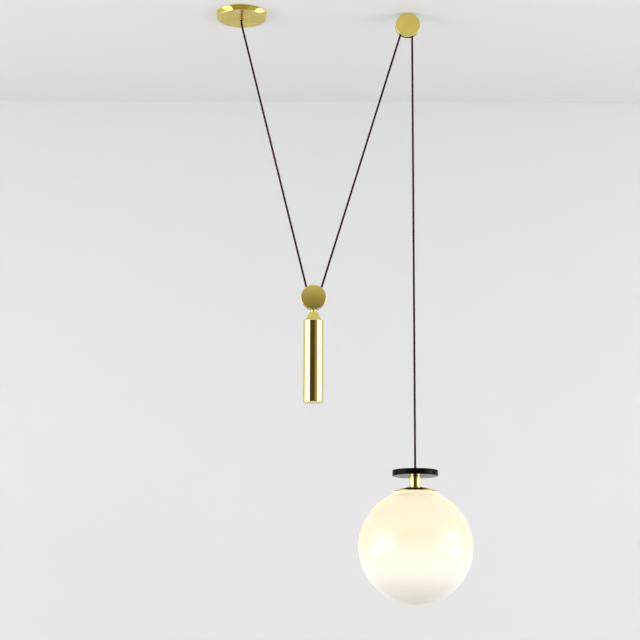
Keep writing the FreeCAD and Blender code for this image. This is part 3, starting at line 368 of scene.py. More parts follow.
# Bronze: warm brown, oiled. Near-black brass on the discs' inner faces is painted shade of the narrow
# gap between them.
gap_shade_brass = plain_metal("Brass darkened as painted gap shade", "#2E2614", "#1E190D", 3.0, 0.4, 0.55, 0.2)
bronze = plain_metal("Oiled bearing bronze", "#B98A54", "#9A6D3E", 1.5, 0.25, 0.4, 0.15)
for place, axle, body, side in (("ceiling_pulley", CEILING_AXLE, "ceiling_fixing", 1),
                                ("weight_pulley", WEIGHT_AXLE, "counterweight", -1)):
    cheek_brass = brass("Satin brass turned " + place.replace("_", " "), axle, True,
                        "#E9D672", "#E1CD68", 0.28, 0.36, 0.3, 1.2)
    rim_brass = brass("Polished brass rim " + place.replace("_", " "), axle, True,
                      "#F2E7B0", "#EADDA0", 0.10, 0.16, 0.1, 1.2)
    for disc, side_of_wheel, cad_node in (("_front_disc", -1, "_front_cheek"),
                                          ("_rear_disc", 1, "_rear_cheek")):
        made = fit(place + disc, cheek(axle, side_of_wheel), body, cheek_brass, "satin_brass",
                   place + cad_node)
        second_finish(made, rim_brass, lambda spot: (
            (spot - Vector(axle)).xz.length > CHEEK_RADIUS - CHEEK_EDGE / 2))
        # the faces that look into the gap get the near-black painted shade
        second_finish(made, gap_shade_brass, lambda spot: abs(spot.y) < CHEEK_HALF_GAP + 0.01)
    back = CHEEK_HALF_GAP + CHEEK_THICKNESS
    start = ((axle[0] - SCREW_SPACING / 2) * MM, back * MM, (axle[2] + side * SCREW_OFFSET) * MM)
    fit(place + "_slotted_screws",
        grown(screw_blank(), screw_row, Start=start, Step=(SCREW_SPACING * MM, 0, 0), Metal=zinc),
        body, zinc, "zinc_steel", place + "_screws")
    finish_node(zinc, place + "_axle")
    finish_node(bronze, place + "_bush")
    # The sheave and the hanger block sit between the discs: their dark brass is painted shade of the
    # gap.
    finish_node(brass("Oiled brass sheave " + place.split("_")[0], axle, True,
                      "#8A7538", "#6E5C2A", 0.16, 0.28, 0.3, 0.9), place + "_sheave")
# the hanger block's dark brass is painted shade of the gap between the discs
finish_node(brass("Satin brass hanger block", CEILING_AXLE, True, "#8A7538", "#6E5C2A",
                  0.30, 0.42, 0.3, 1.0), "ceiling_pulley_block")

# ---------------------------------------------------------------- counterweight
# A brass sleeve over a steel bar, polished and lacquered, with a rounded shoulder. A satin cone
# and a short round neck stand on it, and a stud from the neck runs down into the bar.

WEIGHT_X = 186.0
CONE_TOP, CONE_RADIUS = -770.5, 9.3
SLEEVE_TOP, SLEEVE_BOTTOM, SLEEVE_RADIUS, SHOULDER, SLEEVE_WALL = -789.5, -994.5, 25.0, 5.5, 3.0
SLEEVE_ROOF = 7.0

weight_foot = (WEIGHT_X, 0, 0)
cone_brass = brass("Satin brass turned cone", weight_foot, False, "#ECDA78", "#E4D06C",
                   0.22, 0.30, 0.3, 1.0)
fit("weight_collar_cone", turned([
    (TUBE_HOLE, CONE_TOP, 0),
    (CONE_RADIUS, CONE_TOP, 0.4),
    (SLEEVE_RADIUS - SHOULDER, SLEEVE_TOP, 0),
    (TUBE_HOLE, SLEEVE_TOP, 0)], weight_foot),
    "counterweight", cone_brass, "satin_brass", "weight_cone")
sleeve_brass = brass("Polished brass lacquered sleeve", weight_foot, False, "#E6DA8C", "#E1D283",
                     0.06, 0.10, 0.06, 1.6)
fit("weight_sleeve", turned([
    (TUBE_HOLE, SLEEVE_TOP, 0),
    (SLEEVE_RADIUS, SLEEVE_TOP, SHOULDER),
    (SLEEVE_RADIUS, SLEEVE_BOTTOM, 0.8),
    (SLEEVE_RADIUS - SLEEVE_WALL, SLEEVE_BOTTOM, 0.2),
    (SLEEVE_RADIUS - SLEEVE_WALL, SLEEVE_TOP - SLEEVE_ROOF, 0),
    (TUBE_HOLE, SLEEVE_TOP - SLEEVE_ROOF, 0)], weight_foot),
    "counterweight", sleeve_brass, "polished_brass", "weight_shell")
finish_node(sleeve_brass, "weight_neck")
finish_node(brass("Polished brass foot plug", weight_foot, False, "#E8D27A", "#D6BD62",
                  0.14, 0.24, 0.3, 0.8), "weight_plug")
finish_node(plain_metal("Bright drawn mild steel bar", "#9FA1A4", "#83868A", 3.0, 0.3, 0.45, 0.2),
            "weight_core")

# ---------------------------------------------------------------- lamp head
# A thick gloss black disc takes the cord through a nut let into its top. Under it a polished brass
# spacer stands on a shallow spun brass cap that shuts the mouth of the glass. One threaded tube
# with a nut inside the lampholder clamps the stack together.

LAMP_X = 431.5
DISC_TOP, DISC_RADIUS, DISC_THICKNESS, DISC_EDGE = -1157.0, 55.0, 14.0, 1.2
DISC_NUT_RADIUS, DISC_NUT_HEIGHT, DISC_NUT_ROOF = 9.0, 3.0, 1.5
STEM_RADIUS, STEM_LENGTH = 14.0, 28.4
CAP_RADIUS, CAP_RISE, CAP_SHEET, CAP_RIM = 51.0, 8.6, 1.6, 1.4
CAP_HUB_RADIUS, CAP_HUB_DEPTH = 12.0, 6.8
CAP_SWELL = 2.6                 # the dome's crown above the plain cap, up round the spacer's foot
CAP_SEAT = 0.5                  # the flat round the spacer's foot
CAP_BULGE, CAP_STEPS = 1.1, 14
DISC_NUT_GAP = 0.05

lamp_axis = (LAMP_X, 0, 0)
disc_bottom = DISC_TOP - DISC_THICKNESS
stem_bottom = disc_bottom - STEM_LENGTH
cap_bottom = stem_bottom - CAP_RISE


def black_enamel():
    """Black stoved enamel, rubbed down and polished: deep black under a clear even gloss."""
    material, tree, shader = new_material(
        "Black stoved gloss enamel", Roughness=0.13, IOR=1.28, Specular_IOR_Level=0.1)
    spot = add(tree, "ShaderNodeTexCoord").outputs["Object"]
    peel = add(tree, "ShaderNodeTexNoise", {"Vector": spot, "Scale": 1 / (3.5 * MM),
                                            "Detail": 2.0})
    dust = add(tree, "ShaderNodeTexNoise", {"Vector": spot, "Scale": 1 / (9 * MM),
                                            "Detail": 5.0, "Roughness": 0.7})
    shade = mixed(tree, dust, "#060607", "#0D0D0E")
    bump = add(tree, "ShaderNodeBump", {"Height": peel, "Strength": 0.08, "Distance": 0.1 * MM})
    surface_of(tree, shader, Base_Color=shade, Normal=bump)
    return material


enamel = black_enamel()
fit("lamp_disc", turned([
    (DISC_NUT_RADIUS + DISC_NUT_GAP, DISC_TOP, 0),
    (DISC_RADIUS, DISC_TOP, DISC_EDGE),
    (DISC_RADIUS, disc_bottom, DISC_EDGE),
    (TUBE_HOLE, disc_bottom, 0),
    (TUBE_HOLE, DISC_TOP - DISC_NUT_HEIGHT, 0),
    (DISC_NUT_RADIUS + DISC_NUT_GAP, DISC_TOP - DISC_NUT_HEIGHT, 0)], lamp_axis),
    "lamp", enamel, "black_gloss", "black_disc")
fit("disc_cord_nut", turned([
    (CORD_HOLE, DISC_TOP, 0.3),
    (DISC_NUT_RADIUS, DISC_TOP, 0.3),
    (DISC_NUT_RADIUS, DISC_TOP - DISC_NUT_HEIGHT, 0),
    (TUBE_HOLE, DISC_TOP - DISC_NUT_HEIGHT, 0),
    (TUBE_HOLE, DISC_TOP - DISC_NUT_ROOF, 0),
    (CORD_HOLE, DISC_TOP - DISC_NUT_ROOF, 0)], lamp_axis),
    "lamp", enamel, "black_gloss", "disc_nut")
stem_brass = brass("Polished brass spacer", lamp_axis, False, "#E6DA8C", "#E1D283",
                   0.06, 0.11, 0.08, 1.0)
fit("lamp_spacer", turned([
    (TUBE_HOLE, disc_bottom, 0),
    (STEM_RADIUS, disc_bottom, 0.2),
    (STEM_RADIUS, stem_bottom + CAP_SWELL, 0.3),
    (TUBE_HOLE, stem_bottom + CAP_SWELL, 0)], lamp_axis),
    "lamp", stem_brass, "polished_brass", "stem")


def dome(inner, outer, bulge, steps):
    """Points of a shallow arc from one (radius, height) to another, bulge mm proud of straight."""
    inner, outer = Vector(inner), Vector(outer)
    chord = outer - inner
    proud = Vector((-chord.y, chord.x)).normalized()
    proud = proud if proud.y > 0 else -proud
    places = [step / steps for step in range(1, steps)]
    return [tuple(inner + chord * t + proud * 4 * bulge * t * (1 - t)) + (0,) for t in places]


cap_inner = (CAP_HUB_RADIUS, stem_bottom - CAP_SHEET)
cap_outer = (CAP_RADIUS, cap_bottom + CAP_RIM)
cap_top = stem_bottom + CAP_SWELL
cap_brass = brass("Polished brass spun cap", lamp_axis, False, "#B08D3C", "#987628",
                  0.10, 0.18, 0.2, 1.2)
fit("globe_cap", turned(
    [(TUBE_HOLE, cap_top, 0), (STEM_RADIUS + CAP_SEAT, cap_top, 0)]
    + dome((STEM_RADIUS + CAP_SEAT, cap_top), cap_outer, CAP_BULGE, CAP_STEPS)
    + [cap_outer + (0.5,), (CAP_RADIUS, cap_bottom, 0.2), (CAP_RADIUS - CAP_SHEET, cap_bottom, 0)]
    + dome(cap_inner, (CAP_RADIUS - CAP_SHEET, cap_bottom), CAP_BULGE, CAP_STEPS)[::-1]
    + [cap_inner + (0,), (CAP_HUB_RADIUS, stem_bottom - CAP_HUB_DEPTH, 0),
       (TUBE_HOLE, stem_bottom - CAP_HUB_DEPTH, 0)], lamp_axis),
    "lamp", cap_brass, "polished_brass", "fitter_cap")
finish_node(sawn_brass, "lamp_tube")
finish_node(zinc, "lamp_tube_nut", "lamp_cord_anchor", "spring_carrier", "spring_screws")
finish_node(plain_metal("Blued spring steel", "#7C8088", "#5C6068", 1.5, 0.25, 0.38, 0.15),
            "globe_springs")

# ---------------------------------------------------------------- globe
# A blown opal glass ball with a short collar, ground flat round its mouth. Three spring hooks
# reach in through the mouth and hold it up against a soft ring under the cap. The bulb's light is
# a painted glow, emission along the height: warm near the lampholder, a painted grey shade at the
# foot.

GLOBE_CENTRE, GLOBE_RADIUS, GLOBE_WALL = -1339.46, 136.0, 2.5
COLLAR_TOP, COLLAR_RADIUS, COLLAR_EDGE, COLLAR_FILLET, MOUTH_RADIUS = -1209.0, 55.5, 2.0, 6.0, 44.0
GLOBE_STEPS, BEND_STEPS = 56, 8


def ball(radius, first, last, steps):
    """Points of a round outline about the globe's centre, from one slope to another in degrees."""
    turns = [radians(first + (last - first) * step / steps) for step in range(steps + 1)]
    return [(max(radius * cos(a), 0), GLOBE_CENTRE + radius * sin(a), 0) for a in turns]


fillet_reach = GLOBE_RADIUS + COLLAR_FILLET
fillet_radius = COLLAR_RADIUS + COLLAR_FILLET
fillet_lean = 90 - asin(fillet_radius / fillet_reach) * 180 / pi
fillet_height = GLOBE_CENTRE + sqrt(fillet_reach ** 2 - fillet_radius ** 2)
neck_bend = [radians(180 + fillet_lean * step / BEND_STEPS)
             for step in range(BEND_STEPS + 1)]
mouth_lean = 90 - asin(MOUTH_RADIUS / (GLOBE_RADIUS - GLOBE_WALL)) * 180 / pi
globe_outline = (
    [(MOUTH_RADIUS, COLLAR_TOP, 0.6), (COLLAR_RADIUS, COLLAR_TOP, COLLAR_EDGE)]
    + [(fillet_radius + COLLAR_FILLET * cos(a), fillet_height + COLLAR_FILLET * sin(a), 0)
       for a in neck_bend]
    + ball(GLOBE_RADIUS, fillet_lean, -90, GLOBE_STEPS)[1:]
    + ball(GLOBE_RADIUS - GLOBE_WALL, -90, mouth_lean, GLOBE_STEPS))


def shade_ramp(tree, place, shades):
    """A row of hex colours at their places from 0 to 1, read where the given value falls."""
    ramp = add(tree, "ShaderNodeValToRGB", {0: place})
    while len(ramp.color_ramp.elements) < len(shades):
        ramp.color_ramp.elements.new(0.5)
    for stop, (where, colour) in zip(ramp.color_ramp.elements, shades):
        stop.position, stop.color = where, linear(colour)
    return ramp


def opal_glass():
    """Opal glass: milk white cased in clear, fire polished; its light from inside is a painted glow
    along its height.
    """
    material, tree, shader = new_material(
        "Opal glass blown", Roughness=0.17, IOR=1.5, Subsurface_Weight=0.25,
        Subsurface_Scale=0.02, Subsurface_Radius=(1.0, 0.85, 0.6), Emission_Strength=1.0)
    spot = add(tree, "ShaderNodeTexCoord").outputs["Object"]
    height = add(tree, "ShaderNodeSeparateXYZ", {0: spot})
    level = add(tree, "ShaderNodeMapRange", {
        "Value": height.outputs["Z"], "From Min": (GLOBE_CENTRE - GLOBE_RADIUS) * MM,
        "From Max": COLLAR_TOP * MM})
    # painted glow and shade: emission from a grey foot up to warm white near the lampholder
    painted_glow = shade_ramp(tree, level, [
        (0.0, "#75696F"), (0.05, "#7B8286"), (0.10, "#898E8D"), (0.155, "#979796"),
        (0.21, "#A5A4A0"), (0.29, "#B2B1A8"), (0.40, "#B4AE9C"), (0.59, "#B49A75"),
        (0.79, "#B49A72"), (0.93, "#B4A37F"), (1.0, "#B39A62")])
    seed = add(tree, "ShaderNodeTexNoise", {"Vector": spot, "Scale": 1 / (55 * MM),
                                            "Detail": 2.0})
    body = mixed(tree, seed, "#C8C2B5", "#C2BCAE")
    waves = add(tree, "ShaderNodeBump", {"Height": seed, "Strength": 0.25, "Distance": 0.6 * MM})
    surface_of(tree, shader, Base_Color=body, Emission_Color=painted_glow, Normal=waves)
    return material


fit("opal_globe", turned(globe_outline, lamp_axis), "lamp", opal_glass(), "opal_glass",
    "globe_shoulder", "globe_belt", "globe_bowl")


def moulded(name, light, dark, grain, **uniform):
    """Moulded or blown material: a faint cloudiness of the given grain in mm."""
    material, tree, shader = new_material(name, **uniform)
    spot = add(tree, "ShaderNodeTexCoord").outputs["Object"]
    cloud = add(tree, "ShaderNodeTexNoise", {"Vector": spot, "Scale": 1 / (grain * MM),
                                             "Detail": 4.0})
    shade = mixed(tree, cloud, light, dark)
    bump = add(tree, "ShaderNodeBump", {"Height": cloud, "Strength": 0.2, "Distance": 0.1 * MM})
    surface_of(tree, shader, Base_Color=shade, Normal=bump)
    return material


# White silicone, matt and soft. Phenolic moulding, satin black. Frosted bulb glass, milky.
finish_node(moulded("White silicone rubber", "#E4E2DC", "#D6D3CB", 4, Roughness=0.65), "cap_gasket")
phenolic = moulded("Black phenolic moulding", "#17181A", "#222326", 2, Roughness=0.38)
finish_node(phenolic, "lampholder_top", "lampholder_body")
finish_node(moulded("Frosted bulb glass", "#F1EEE4", "#E6E1D3", 6, Roughness=0.45,
                    Emission_Strength=0.6, Emission_Color=linear("#FFE9C4")), "bulb_glass")
nickel = plain_metal("Nickel plated brass", "#C8C4B8", "#B4AFA2", 1.5, 0.2, 0.32, 0.15)
finish_node(nickel, "bulb_base", "lampholder_shell", "lampholder_contact")

# ---------------------------------------------------------------- cord
# One length of braided flex, dark oxblood cotton over rubber. It leaves the canopy, runs under the
# wheel of the counterweight, over the wheel at the ceiling and down to the disc. The braid is eight
# strands each way, over one and under one, drawn coarser than its real threads so that it shows.

CORD_RADIUS = 2.5
CORD_CORE = 2.45
STRAND_RADIUS, STRAND_LIFT = 0.45, 0.08     # a strand, and how far it weaves in and out
BRAID_PROUD = 0.1               # how far the crossings stand above the cord's even size
BRAID_PITCH, BRAID_PAIRS = 16.0, 8
BRAID_STEP, CORE_STEP = 1.25, 2.5
LINE_STEPS = 24                 # points between two corners of a route


def cord_line(name, route):
    """Follows the route's smooth line and returns the points it passes through, in metres."""
    line = bpy.data.curves.new(name, "CURVE")
    line.dimensions, line.resolution_u = "3D", LINE_STEPS
    spline = line.splines.new("NURBS")
    spline.points.add(len(route) - 1)
    for point, (x, z) in zip(spline.points, route):
        point.co = (x * MM, 0, z * MM, 1)
    spline.order_u = 3
    spline.use_endpoint_u = True
    holder = bpy.data.objects.new(name, line)
    bpy.context.scene.collection.objects.link(holder)
    data = bpy.data.meshes.new_from_object(
        holder.evaluated_get(bpy.context.evaluated_depsgraph_get()))
    bpy.data.objects.remove(holder)
    return data


braid, ins, outs = new_tree(
    "Braided flex", ("Core Radius", "Float", CORD_CORE * MM), ("Strand Radius", "Float", None),
    ("Braid Radius", "Float", None), ("Lift", "Float", None), ("Pitch", "Float", None),
    ("Pairs", "Int", BRAID_PAIRS), ("Step", "Float", None), ("Core Step", "Float", None),
    ("Cloth", "Material", None))
line = add(braid, "GeometryNodeMeshToCurve", {"Mesh": ins.outputs["Geometry"]})
core_line = add(braid, "GeometryNodeResampleCurve", {
    "Curve": line, "Length": ins.outputs["Core Step"]}, mode="LENGTH")
core_ring = add(braid, "GeometryNodeCurvePrimitiveCircle", {
    "Resolution": 12, "Radius": ins.outputs["Core Radius"]})
core = add(braid, "GeometryNodeCurveToMesh", {
    "Curve": core_line, "Profile Curve": core_ring, "Fill Caps": True})
fine = add(braid, "GeometryNodeResampleCurve", {"Curve": line, "Length": ins.outputs["Step"]},
           mode="LENGTH")
along = add(braid, "GeometryNodeSplineParameter")
kept = add(braid, "GeometryNodeCaptureAttribute", {"Geometry": fine}, domain="POINT")
for label, kind in (("Along", "FLOAT"), ("Outward", "VECTOR"), ("Forward", "VECTOR")):
    kept.capture_items.new(kind, label)
braid.links.new(along.outputs["Length"], kept.inputs["Along"])
braid.links.new(add(braid, "GeometryNodeInputNormal").outputs[0], kept.inputs["Outward"])
braid.links.new(add(braid, "GeometryNodeInputTangent").outputs[0], kept.inputs["Forward"])
strands = add(braid, "GeometryNodeDuplicateElements", {
    "Geometry": kept.outputs["Geometry"],
    "Amount": add(braid, "ShaderNodeMath", {0: ins.outputs["Pairs"], 1: 2.0},
                  operation="MULTIPLY")}, domain="SPLINE")
number = strands.outputs["Duplicate Index"]
odd = add(braid, "ShaderNodeMath", {0: number, 1: 2.0}, operation="MODULO")
hand = add(braid, "ShaderNodeMath", {0: odd, 1: 2.0, 2: -1.0}, operation="MULTIPLY_ADD")
pair = add(braid, "ShaderNodeMath", {0: add(braid, "ShaderNodeMath", {0: number, 1: odd},
                                            operation="SUBTRACT"), 1: 0.5}, operation="MULTIPLY")
spacing = add(braid, "ShaderNodeMath", {0: 2 * pi, 1: ins.outputs["Pairs"]}, operation="DIVIDE")
wind = add(braid, "ShaderNodeMath", {0: add(braid, "ShaderNodeMath", {
    0: kept.outputs["Along"], 1: ins.outputs["Pitch"]}, operation="DIVIDE"), 1: 2 * pi},
    operation="MULTIPLY")
handed = add(braid, "ShaderNodeMath", {0: wind, 1: hand}, operation="MULTIPLY")
angle = add(braid, "ShaderNodeMath", {0: pair, 1: spacing, 2: handed}, operation="MULTIPLY_ADD")
weave = add(braid, "ShaderNodeMath", {0: add(braid, "ShaderNodeMath", {
    0: wind, 1: ins.outputs["Pairs"]}, operation="MULTIPLY")}, operation="COSINE")
rise = add(braid, "ShaderNodeMath", {0: add(braid, "ShaderNodeMath", {0: weave, 1: hand},
           operation="MULTIPLY"), 1: ins.outputs["Lift"], 2: ins.outputs["Braid Radius"]},
           operation="MULTIPLY_ADD")
sideways = add(braid, "ShaderNodeVectorMath", {0: kept.outputs["Forward"],
                                               1: kept.outputs["Outward"]},
               operation="CROSS_PRODUCT")
across_part = add(braid, "ShaderNodeVectorMath", {
    0: kept.outputs["Outward"],
    "Scale": add(braid, "ShaderNodeMath", {0: angle}, operation="COSINE")}, operation="SCALE")
side_part = add(braid, "ShaderNodeVectorMath", {
    0: sideways, "Scale": add(braid, "ShaderNodeMath", {0: angle}, operation="SINE")},
    operation="SCALE")
ray = add(braid, "ShaderNodeVectorMath", {0: across_part, 1: side_part}, operation="ADD")
shift = add(braid, "ShaderNodeVectorMath", {0: ray, "Scale": rise}, operation="SCALE")
laid = add(braid, "GeometryNodeSetPosition", {"Geometry": strands.outputs["Geometry"],
                                              "Offset": shift})
strand_ring = add(braid, "GeometryNodeCurvePrimitiveCircle", {
    "Resolution": 5, "Radius": ins.outputs["Strand Radius"]})
thread = add(braid, "GeometryNodeCurveToMesh", {
    "Curve": laid, "Profile Curve": strand_ring, "Fill Caps": True})
whole = add(braid, "GeometryNodeJoinGeometry")
braid.links.new(core.outputs[0], whole.inputs[0])
braid.links.new(thread.outputs[0], whole.inputs[0])
real = add(braid, "GeometryNodeRealizeInstances", {"Geometry": whole})
cloth = add(braid, "GeometryNodeSetMaterial", {"Geometry": real, "Material": ins.outputs["Cloth"]})
braid.links.new(cloth.outputs[0], outs.inputs["Geometry"])


def braided_cotton():
    """Mercerised cotton braid: almost black oxblood, dull between the strands, a soft sheen."""
    material, tree, shader = new_material(
        "Braided cotton flex oxblood", Roughness=0.85, Specular_IOR_Level=0.08,
        Sheen_Weight=0.02, Sheen_Roughness=0.5, Sheen_Tint=linear("#8A2038"))
    spot = add(tree, "ShaderNodeTexCoord").outputs["Object"]
    fibre = add(tree, "ShaderNodeTexNoise", {"Vector": spot, "Scale": 1 / (0.5 * MM),
                                             "Detail": 3.0, "Roughness": 0.7})
    dye = add(tree, "ShaderNodeTexNoise", {"Vector": spot, "Scale": 1 / (40 * MM), "Detail": 2.0})
    shade = add(tree, "ShaderNodeMath", {0: fibre, 1: 0.6, 2: dye}, operation="MULTIPLY_ADD")
    level = add(tree, "ShaderNodeMapRange", {"Value": shade, "From Min": 0.6, "From Max": 1.0})
    colour = mixed(tree, level, "#3C0816", "#27040D")
    bump = add(tree, "ShaderNodeBump", {"Height": fibre, "Strength": 0.5, "Distance": 0.1 * MM})
    surface_of(tree, shader, Base_Color=colour, Normal=bump)
    return material


cotton = braided_cotton()


def lay_cord(name, route, bodies, start, end, *replaced):
    """Sweeps the braid along a route; the bodies, start and end it takes are not used."""
    track = cord_line(name, route)
    mesh = grown(track, braid, Core_Radius=CORD_CORE * MM, Strand_Radius=STRAND_RADIUS * MM,
                 Braid_Radius=(CORD_RADIUS + BRAID_PROUD - STRAND_RADIUS - STRAND_LIFT) * MM,
                 Lift=STRAND_LIFT * MM, Pitch=BRAID_PITCH * MM, Pairs=BRAID_PAIRS,
                 Step=BRAID_STEP * MM, Core_Step=CORE_STEP * MM, Cloth=cotton)
    piece = fit(name, mesh, None, cotton, "braided_cord", *replaced)
    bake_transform(piece)


# The corners of each route in mm, as (x, z): round a wheel they stand a little outside the cord.
canopy_route = [(0, -19.5), (0, -27.5), (6.0, -51.8), (168.1, -708.5), (174.4, -734.0),
                (176.21, -741.24), (182.01, -745.91), (189.44, -746.09), (195.46, -741.73),
                (196.53, -738.17)]
lay_cord("cord_to_weight", canopy_route, ("ceiling_fixing", "counterweight"),
         (0, 0, -0.0195), (0.17532, 0, -0.73764), "cord_canopy_run", "cord_under_weight")
pulley_route = [(196.53, -738.17), (205.2, -709.4), (401.3, -57.6), (408.9, -32.4),
                (411.04, -25.27), (416.8, -20.97), (424.1, -21.0), (429.95, -25.3),
                (431.5, -32.0)]
lay_cord("cord_to_ceiling", pulley_route, ("counterweight", "ceiling_fixing"),
         (0.19653, 0, -0.73817), (0.40997, 0, -0.02883), "cord_pulley_run", "cord_over_pulley")
drop_route = [(431.5, -32.0), (431.5, -62.0), (431.5, -1127.0), (431.5, -1157.0)]
lay_cord("cord_to_lamp", drop_route, ("ceiling_fixing", "lamp"),
         (0.4315, 0, -0.032), (0.4315, 0, -1.157), "cord_drop")
finish_node(cotton, "canopy_cord_tail", "lamp_cord_tail")

# ---------------------------------------------------------------- room, light and camera
# A pale ceiling, wall and floor, in metres. Two wide soft panels stand at the sides, and the far
# side of the room is dim, which gives polished brass its dark middle.

WALL_Y, FLOOR_Z = 0.69, -2.55
ROOM_HALF = 6.0
CEILING_FRONT = -2.6


def paint(name, colour):
    """Matt emulsion on plaster, seen from the room's side only."""
    material, tree, shader = new_material(name, Roughness=0.9, Specular_IOR_Level=0.0,
                                          Base_Color=linear(colour))
    clear = add(tree, "ShaderNodeBsdfTransparent")
    back = add(tree, "ShaderNodeNewGeometry").outputs["Backfacing"]
    seen = add(tree, "ShaderNodeMixShader", {0: back, 1: shader.outputs[0], 2: clear.outputs[0]})
    tree.links.new(seen.outputs[0], tree.nodes["Material Output"].inputs["Surface"])
    return material


def sheet(name, corners, material):
    """A flat stage surface whose corners run so that its face looks into the room."""
    data = bpy.data.meshes.new(name)
    data.from_pydata(corners, [], [(0, 1, 2, 3)])
    data.materials.append(material)
    surface = bpy.data.objects.new(name, data)
    bpy.context.scene.collection.objects.link(surface)
    return surface


sheet("ceiling", [(-ROOM_HALF, CEILING_FRONT, 0), (-ROOM_HALF, WALL_Y, 0),
                  (ROOM_HALF, WALL_Y, 0), (ROOM_HALF, CEILING_FRONT, 0)],
      paint("Ceiling paint", "#E9E9E9"))
sheet("wall", [(-ROOM_HALF, WALL_Y, FLOOR_Z), (ROOM_HALF, WALL_Y, FLOOR_Z),
               (ROOM_HALF, WALL_Y, 0), (-ROOM_HALF, WALL_Y, 0)],
      paint("Wall paint", "#E1E1E1"))
sheet("floor", [(-ROOM_HALF, -ROOM_HALF, FLOOR_Z), (ROOM_HALF, -ROOM_HALF, FLOOR_Z),
                (ROOM_HALF, WALL_Y, FLOOR_Z), (-ROOM_HALF, WALL_Y, FLOOR_Z)],
      paint("Pale floor", "#DAD9D6"))


def panel(name, place, aim, width, height, power):
    """A soft light panel for matt surfaces; a bright sheet in front of it serves shiny ones."""
    light = bpy.data.lights.new(name, "AREA")
    light.shape, light.size, light.size_y, light.energy = "RECTANGLE", width, height, power
    lamp = bpy.data.objects.new(name, light)
    lamp.location = place
    lamp.rotation_euler = (Vector(aim) - Vector(place)).to_track_quat("-Z", "Y").to_euler()
    lamp.visible_camera = False
    lamp.visible_glossy = False
    bpy.context.scene.collection.objects.link(lamp)


def glow(name, measure, low, high, shades, strength):
    """Light given off by a surface; measure picks what runs through the shades."""
    material, tree, shader = new_material(name, Roughness=1.0, Emission_Strength=strength,
                                          Base_Color=(0, 0, 0, 1))
    spot = add(tree, "ShaderNodeSeparateXYZ", {
        0: add(tree, "ShaderNodeTexCoord").outputs["Object"]})
    if measure == "turn":
        course = add(tree, "ShaderNodeMath", {
            0: spot.outputs["X"],
            1: add(tree, "ShaderNodeMath", {0: spot.outputs["Y"], 1: -1.0},
                   operation="MULTIPLY")}, operation="ARCTAN2")
    else:
        course = spot.outputs[measure]
    place = add(tree, "ShaderNodeMapRange", {"Value": course, "From Min": low, "From Max": high})
    ramp = shade_ramp(tree, place, [((where - low) / (high - low), colour)
                                    for where, colour in shades])
    surface_of(tree, shader, Emission_Color=ramp)
    return material


def only_reflected(surface):
    """A stage surface that is seen in shiny things alone."""
    surface.visible_camera = False
    surface.visible_diffuse = False
    surface.visible_shadow = False


LEFT_X, RIGHT_X, FAR_Y = -2.3, 2.9, -4.7
PANEL_Z, PANEL_HEIGHT, MIDDLE_X = -1.2, 1.5, 0.2
SHEET_LOW, SHEET_HIGH = -1.95, -0.05
SHEET_FRONT, SHEET_BACK = -3.0, 0.6
SHEET_STEP = 0.01               # from one sheet of light to the next in front of it

for name, x, y, width, power in (("left_panel", LEFT_X, -1.55, 2.7, 37.4),
                                 ("right_panel", RIGHT_X, -1.255, 2.2, 32.2)):
    panel(name, (x, y, PANEL_Z), (MIDDLE_X, y, PANEL_Z), width, PANEL_HEIGHT, power)
panel_shades = [(SHEET_FRONT, "#D8D8D2"), (-2.4, "#FFFFFF"), (0.1, "#FFFFFF"),
                (SHEET_BACK, "#D8D8D2")]
panel_light, window_light, lamp_light = [
    glow(name, "Y", SHEET_FRONT, SHEET_BACK, panel_shades, strength) for name, strength in (
        ("Soft panel light", 3.5), ("Window light", 5.2), ("Small lamp light", 11.0))]
dim_light = glow("Dim side of the room", "X", -3.5, 5.5, [
    (-3.5, "#5F5236"), (-2.9, "#5A4A28"), (-2.5, "#4E3F1E"), (1.45, "#4E3F1E"),
    (1.9, "#9FA080"), (4.6, "#B4B498"), (5.5, "#C8C8B4")], 1.0)
for name, x, (y, far_y), (low, high), light in (
        ("left_sheet", LEFT_X + SHEET_STEP, (-2.9, SHEET_BACK), (SHEET_LOW, SHEET_HIGH),
         panel_light),
        ("left_window", LEFT_X + 2 * SHEET_STEP, (-1.6, -0.35), (-1.4, -0.6), window_light),
        ("right_sheet", RIGHT_X - SHEET_STEP, (0.595, -2.355), (SHEET_LOW, SHEET_HIGH),
         panel_light),
        ("right_lamp", RIGHT_X - 2 * SHEET_STEP, (-0.25, -0.7), (-0.95, -0.5), lamp_light)):
    only_reflected(sheet(name, [(x, y, low), (x, far_y, low), (x, far_y, high), (x, y, high)],
                         light))
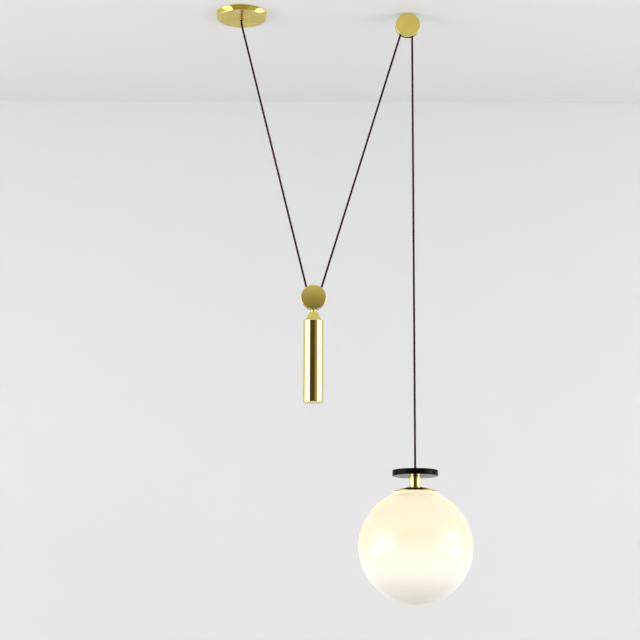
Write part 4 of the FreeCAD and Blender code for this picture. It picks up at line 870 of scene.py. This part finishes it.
only_reflected(sheet("dim_side", [(5.5, FAR_Y, -2.5), (-3.5, FAR_Y, -2.5), (-3.5, FAR_Y, 1.5),
                                  (5.5, FAR_Y, 1.5)], dim_light))

# What the canopy's bright edge sees along the ceiling: dim towards the viewer, bright at the sides.
ring_data = bpy.data.meshes.new("ceiling_shine")
SHINE_INNER, SHINE_OUTER, SHINE_LOW, SHINE_HIGH = 68.0, 280.0, -0.6, -0.4
ring = turned([(SHINE_INNER, SHINE_LOW, 0), (SHINE_OUTER, SHINE_LOW, 0),
               (SHINE_OUTER, SHINE_HIGH, 0), (SHINE_INNER, SHINE_HIGH, 0)], (0, 0, 0))
ring.to_mesh(ring_data)
ring.free()
ring_data.materials.append(glow("Ceiling shine round the canopy", "turn", -pi, pi, [
    (-pi, "#80786A"), (-1.02, "#80786A"), (-0.88, "#DCDCC4"), (-0.57, "#DCDCC4"),
    (-0.50, "#604F2D"), (0.40, "#604F2D"), (0.46, "#656445"), (0.90, "#656445"),
    (1.0, "#E6E4DA"), (1.27, "#E6E4DA"), (1.42, "#80786A"), (pi, "#80786A")], 3.2))
shine = bpy.data.objects.new("ceiling_shine", ring_data)
bpy.context.scene.collection.objects.link(shine)
only_reflected(shine)

world = bpy.data.worlds.new("Room light")
bpy.context.scene.world = world
world.use_nodes = True
backdrop = world.node_tree.nodes["Background"]
backdrop.inputs["Color"].default_value = linear("#E4E6EB")
backdrop.inputs["Strength"].default_value = 1.2

CAMERA_PLACE, CAMERA_RISE, CAMERA_ROLL = (0.2019, -4.0200, -1.5932), 11.29, 0.2385
camera_data = bpy.data.cameras.new("camera")
camera_data.lens, camera_data.sensor_width = 94.54, 36.0
camera = bpy.data.objects.new("camera", camera_data)
camera.matrix_world = (Matrix.Translation(CAMERA_PLACE)
                       @ Matrix.Rotation(radians(90 + CAMERA_RISE), 4, "X")
                       @ Matrix.Rotation(radians(CAMERA_ROLL), 4, "Z"))
bpy.context.scene.collection.objects.link(camera)
bpy.context.scene.camera = camera
bpy.context.scene.view_settings.view_transform = "Standard"
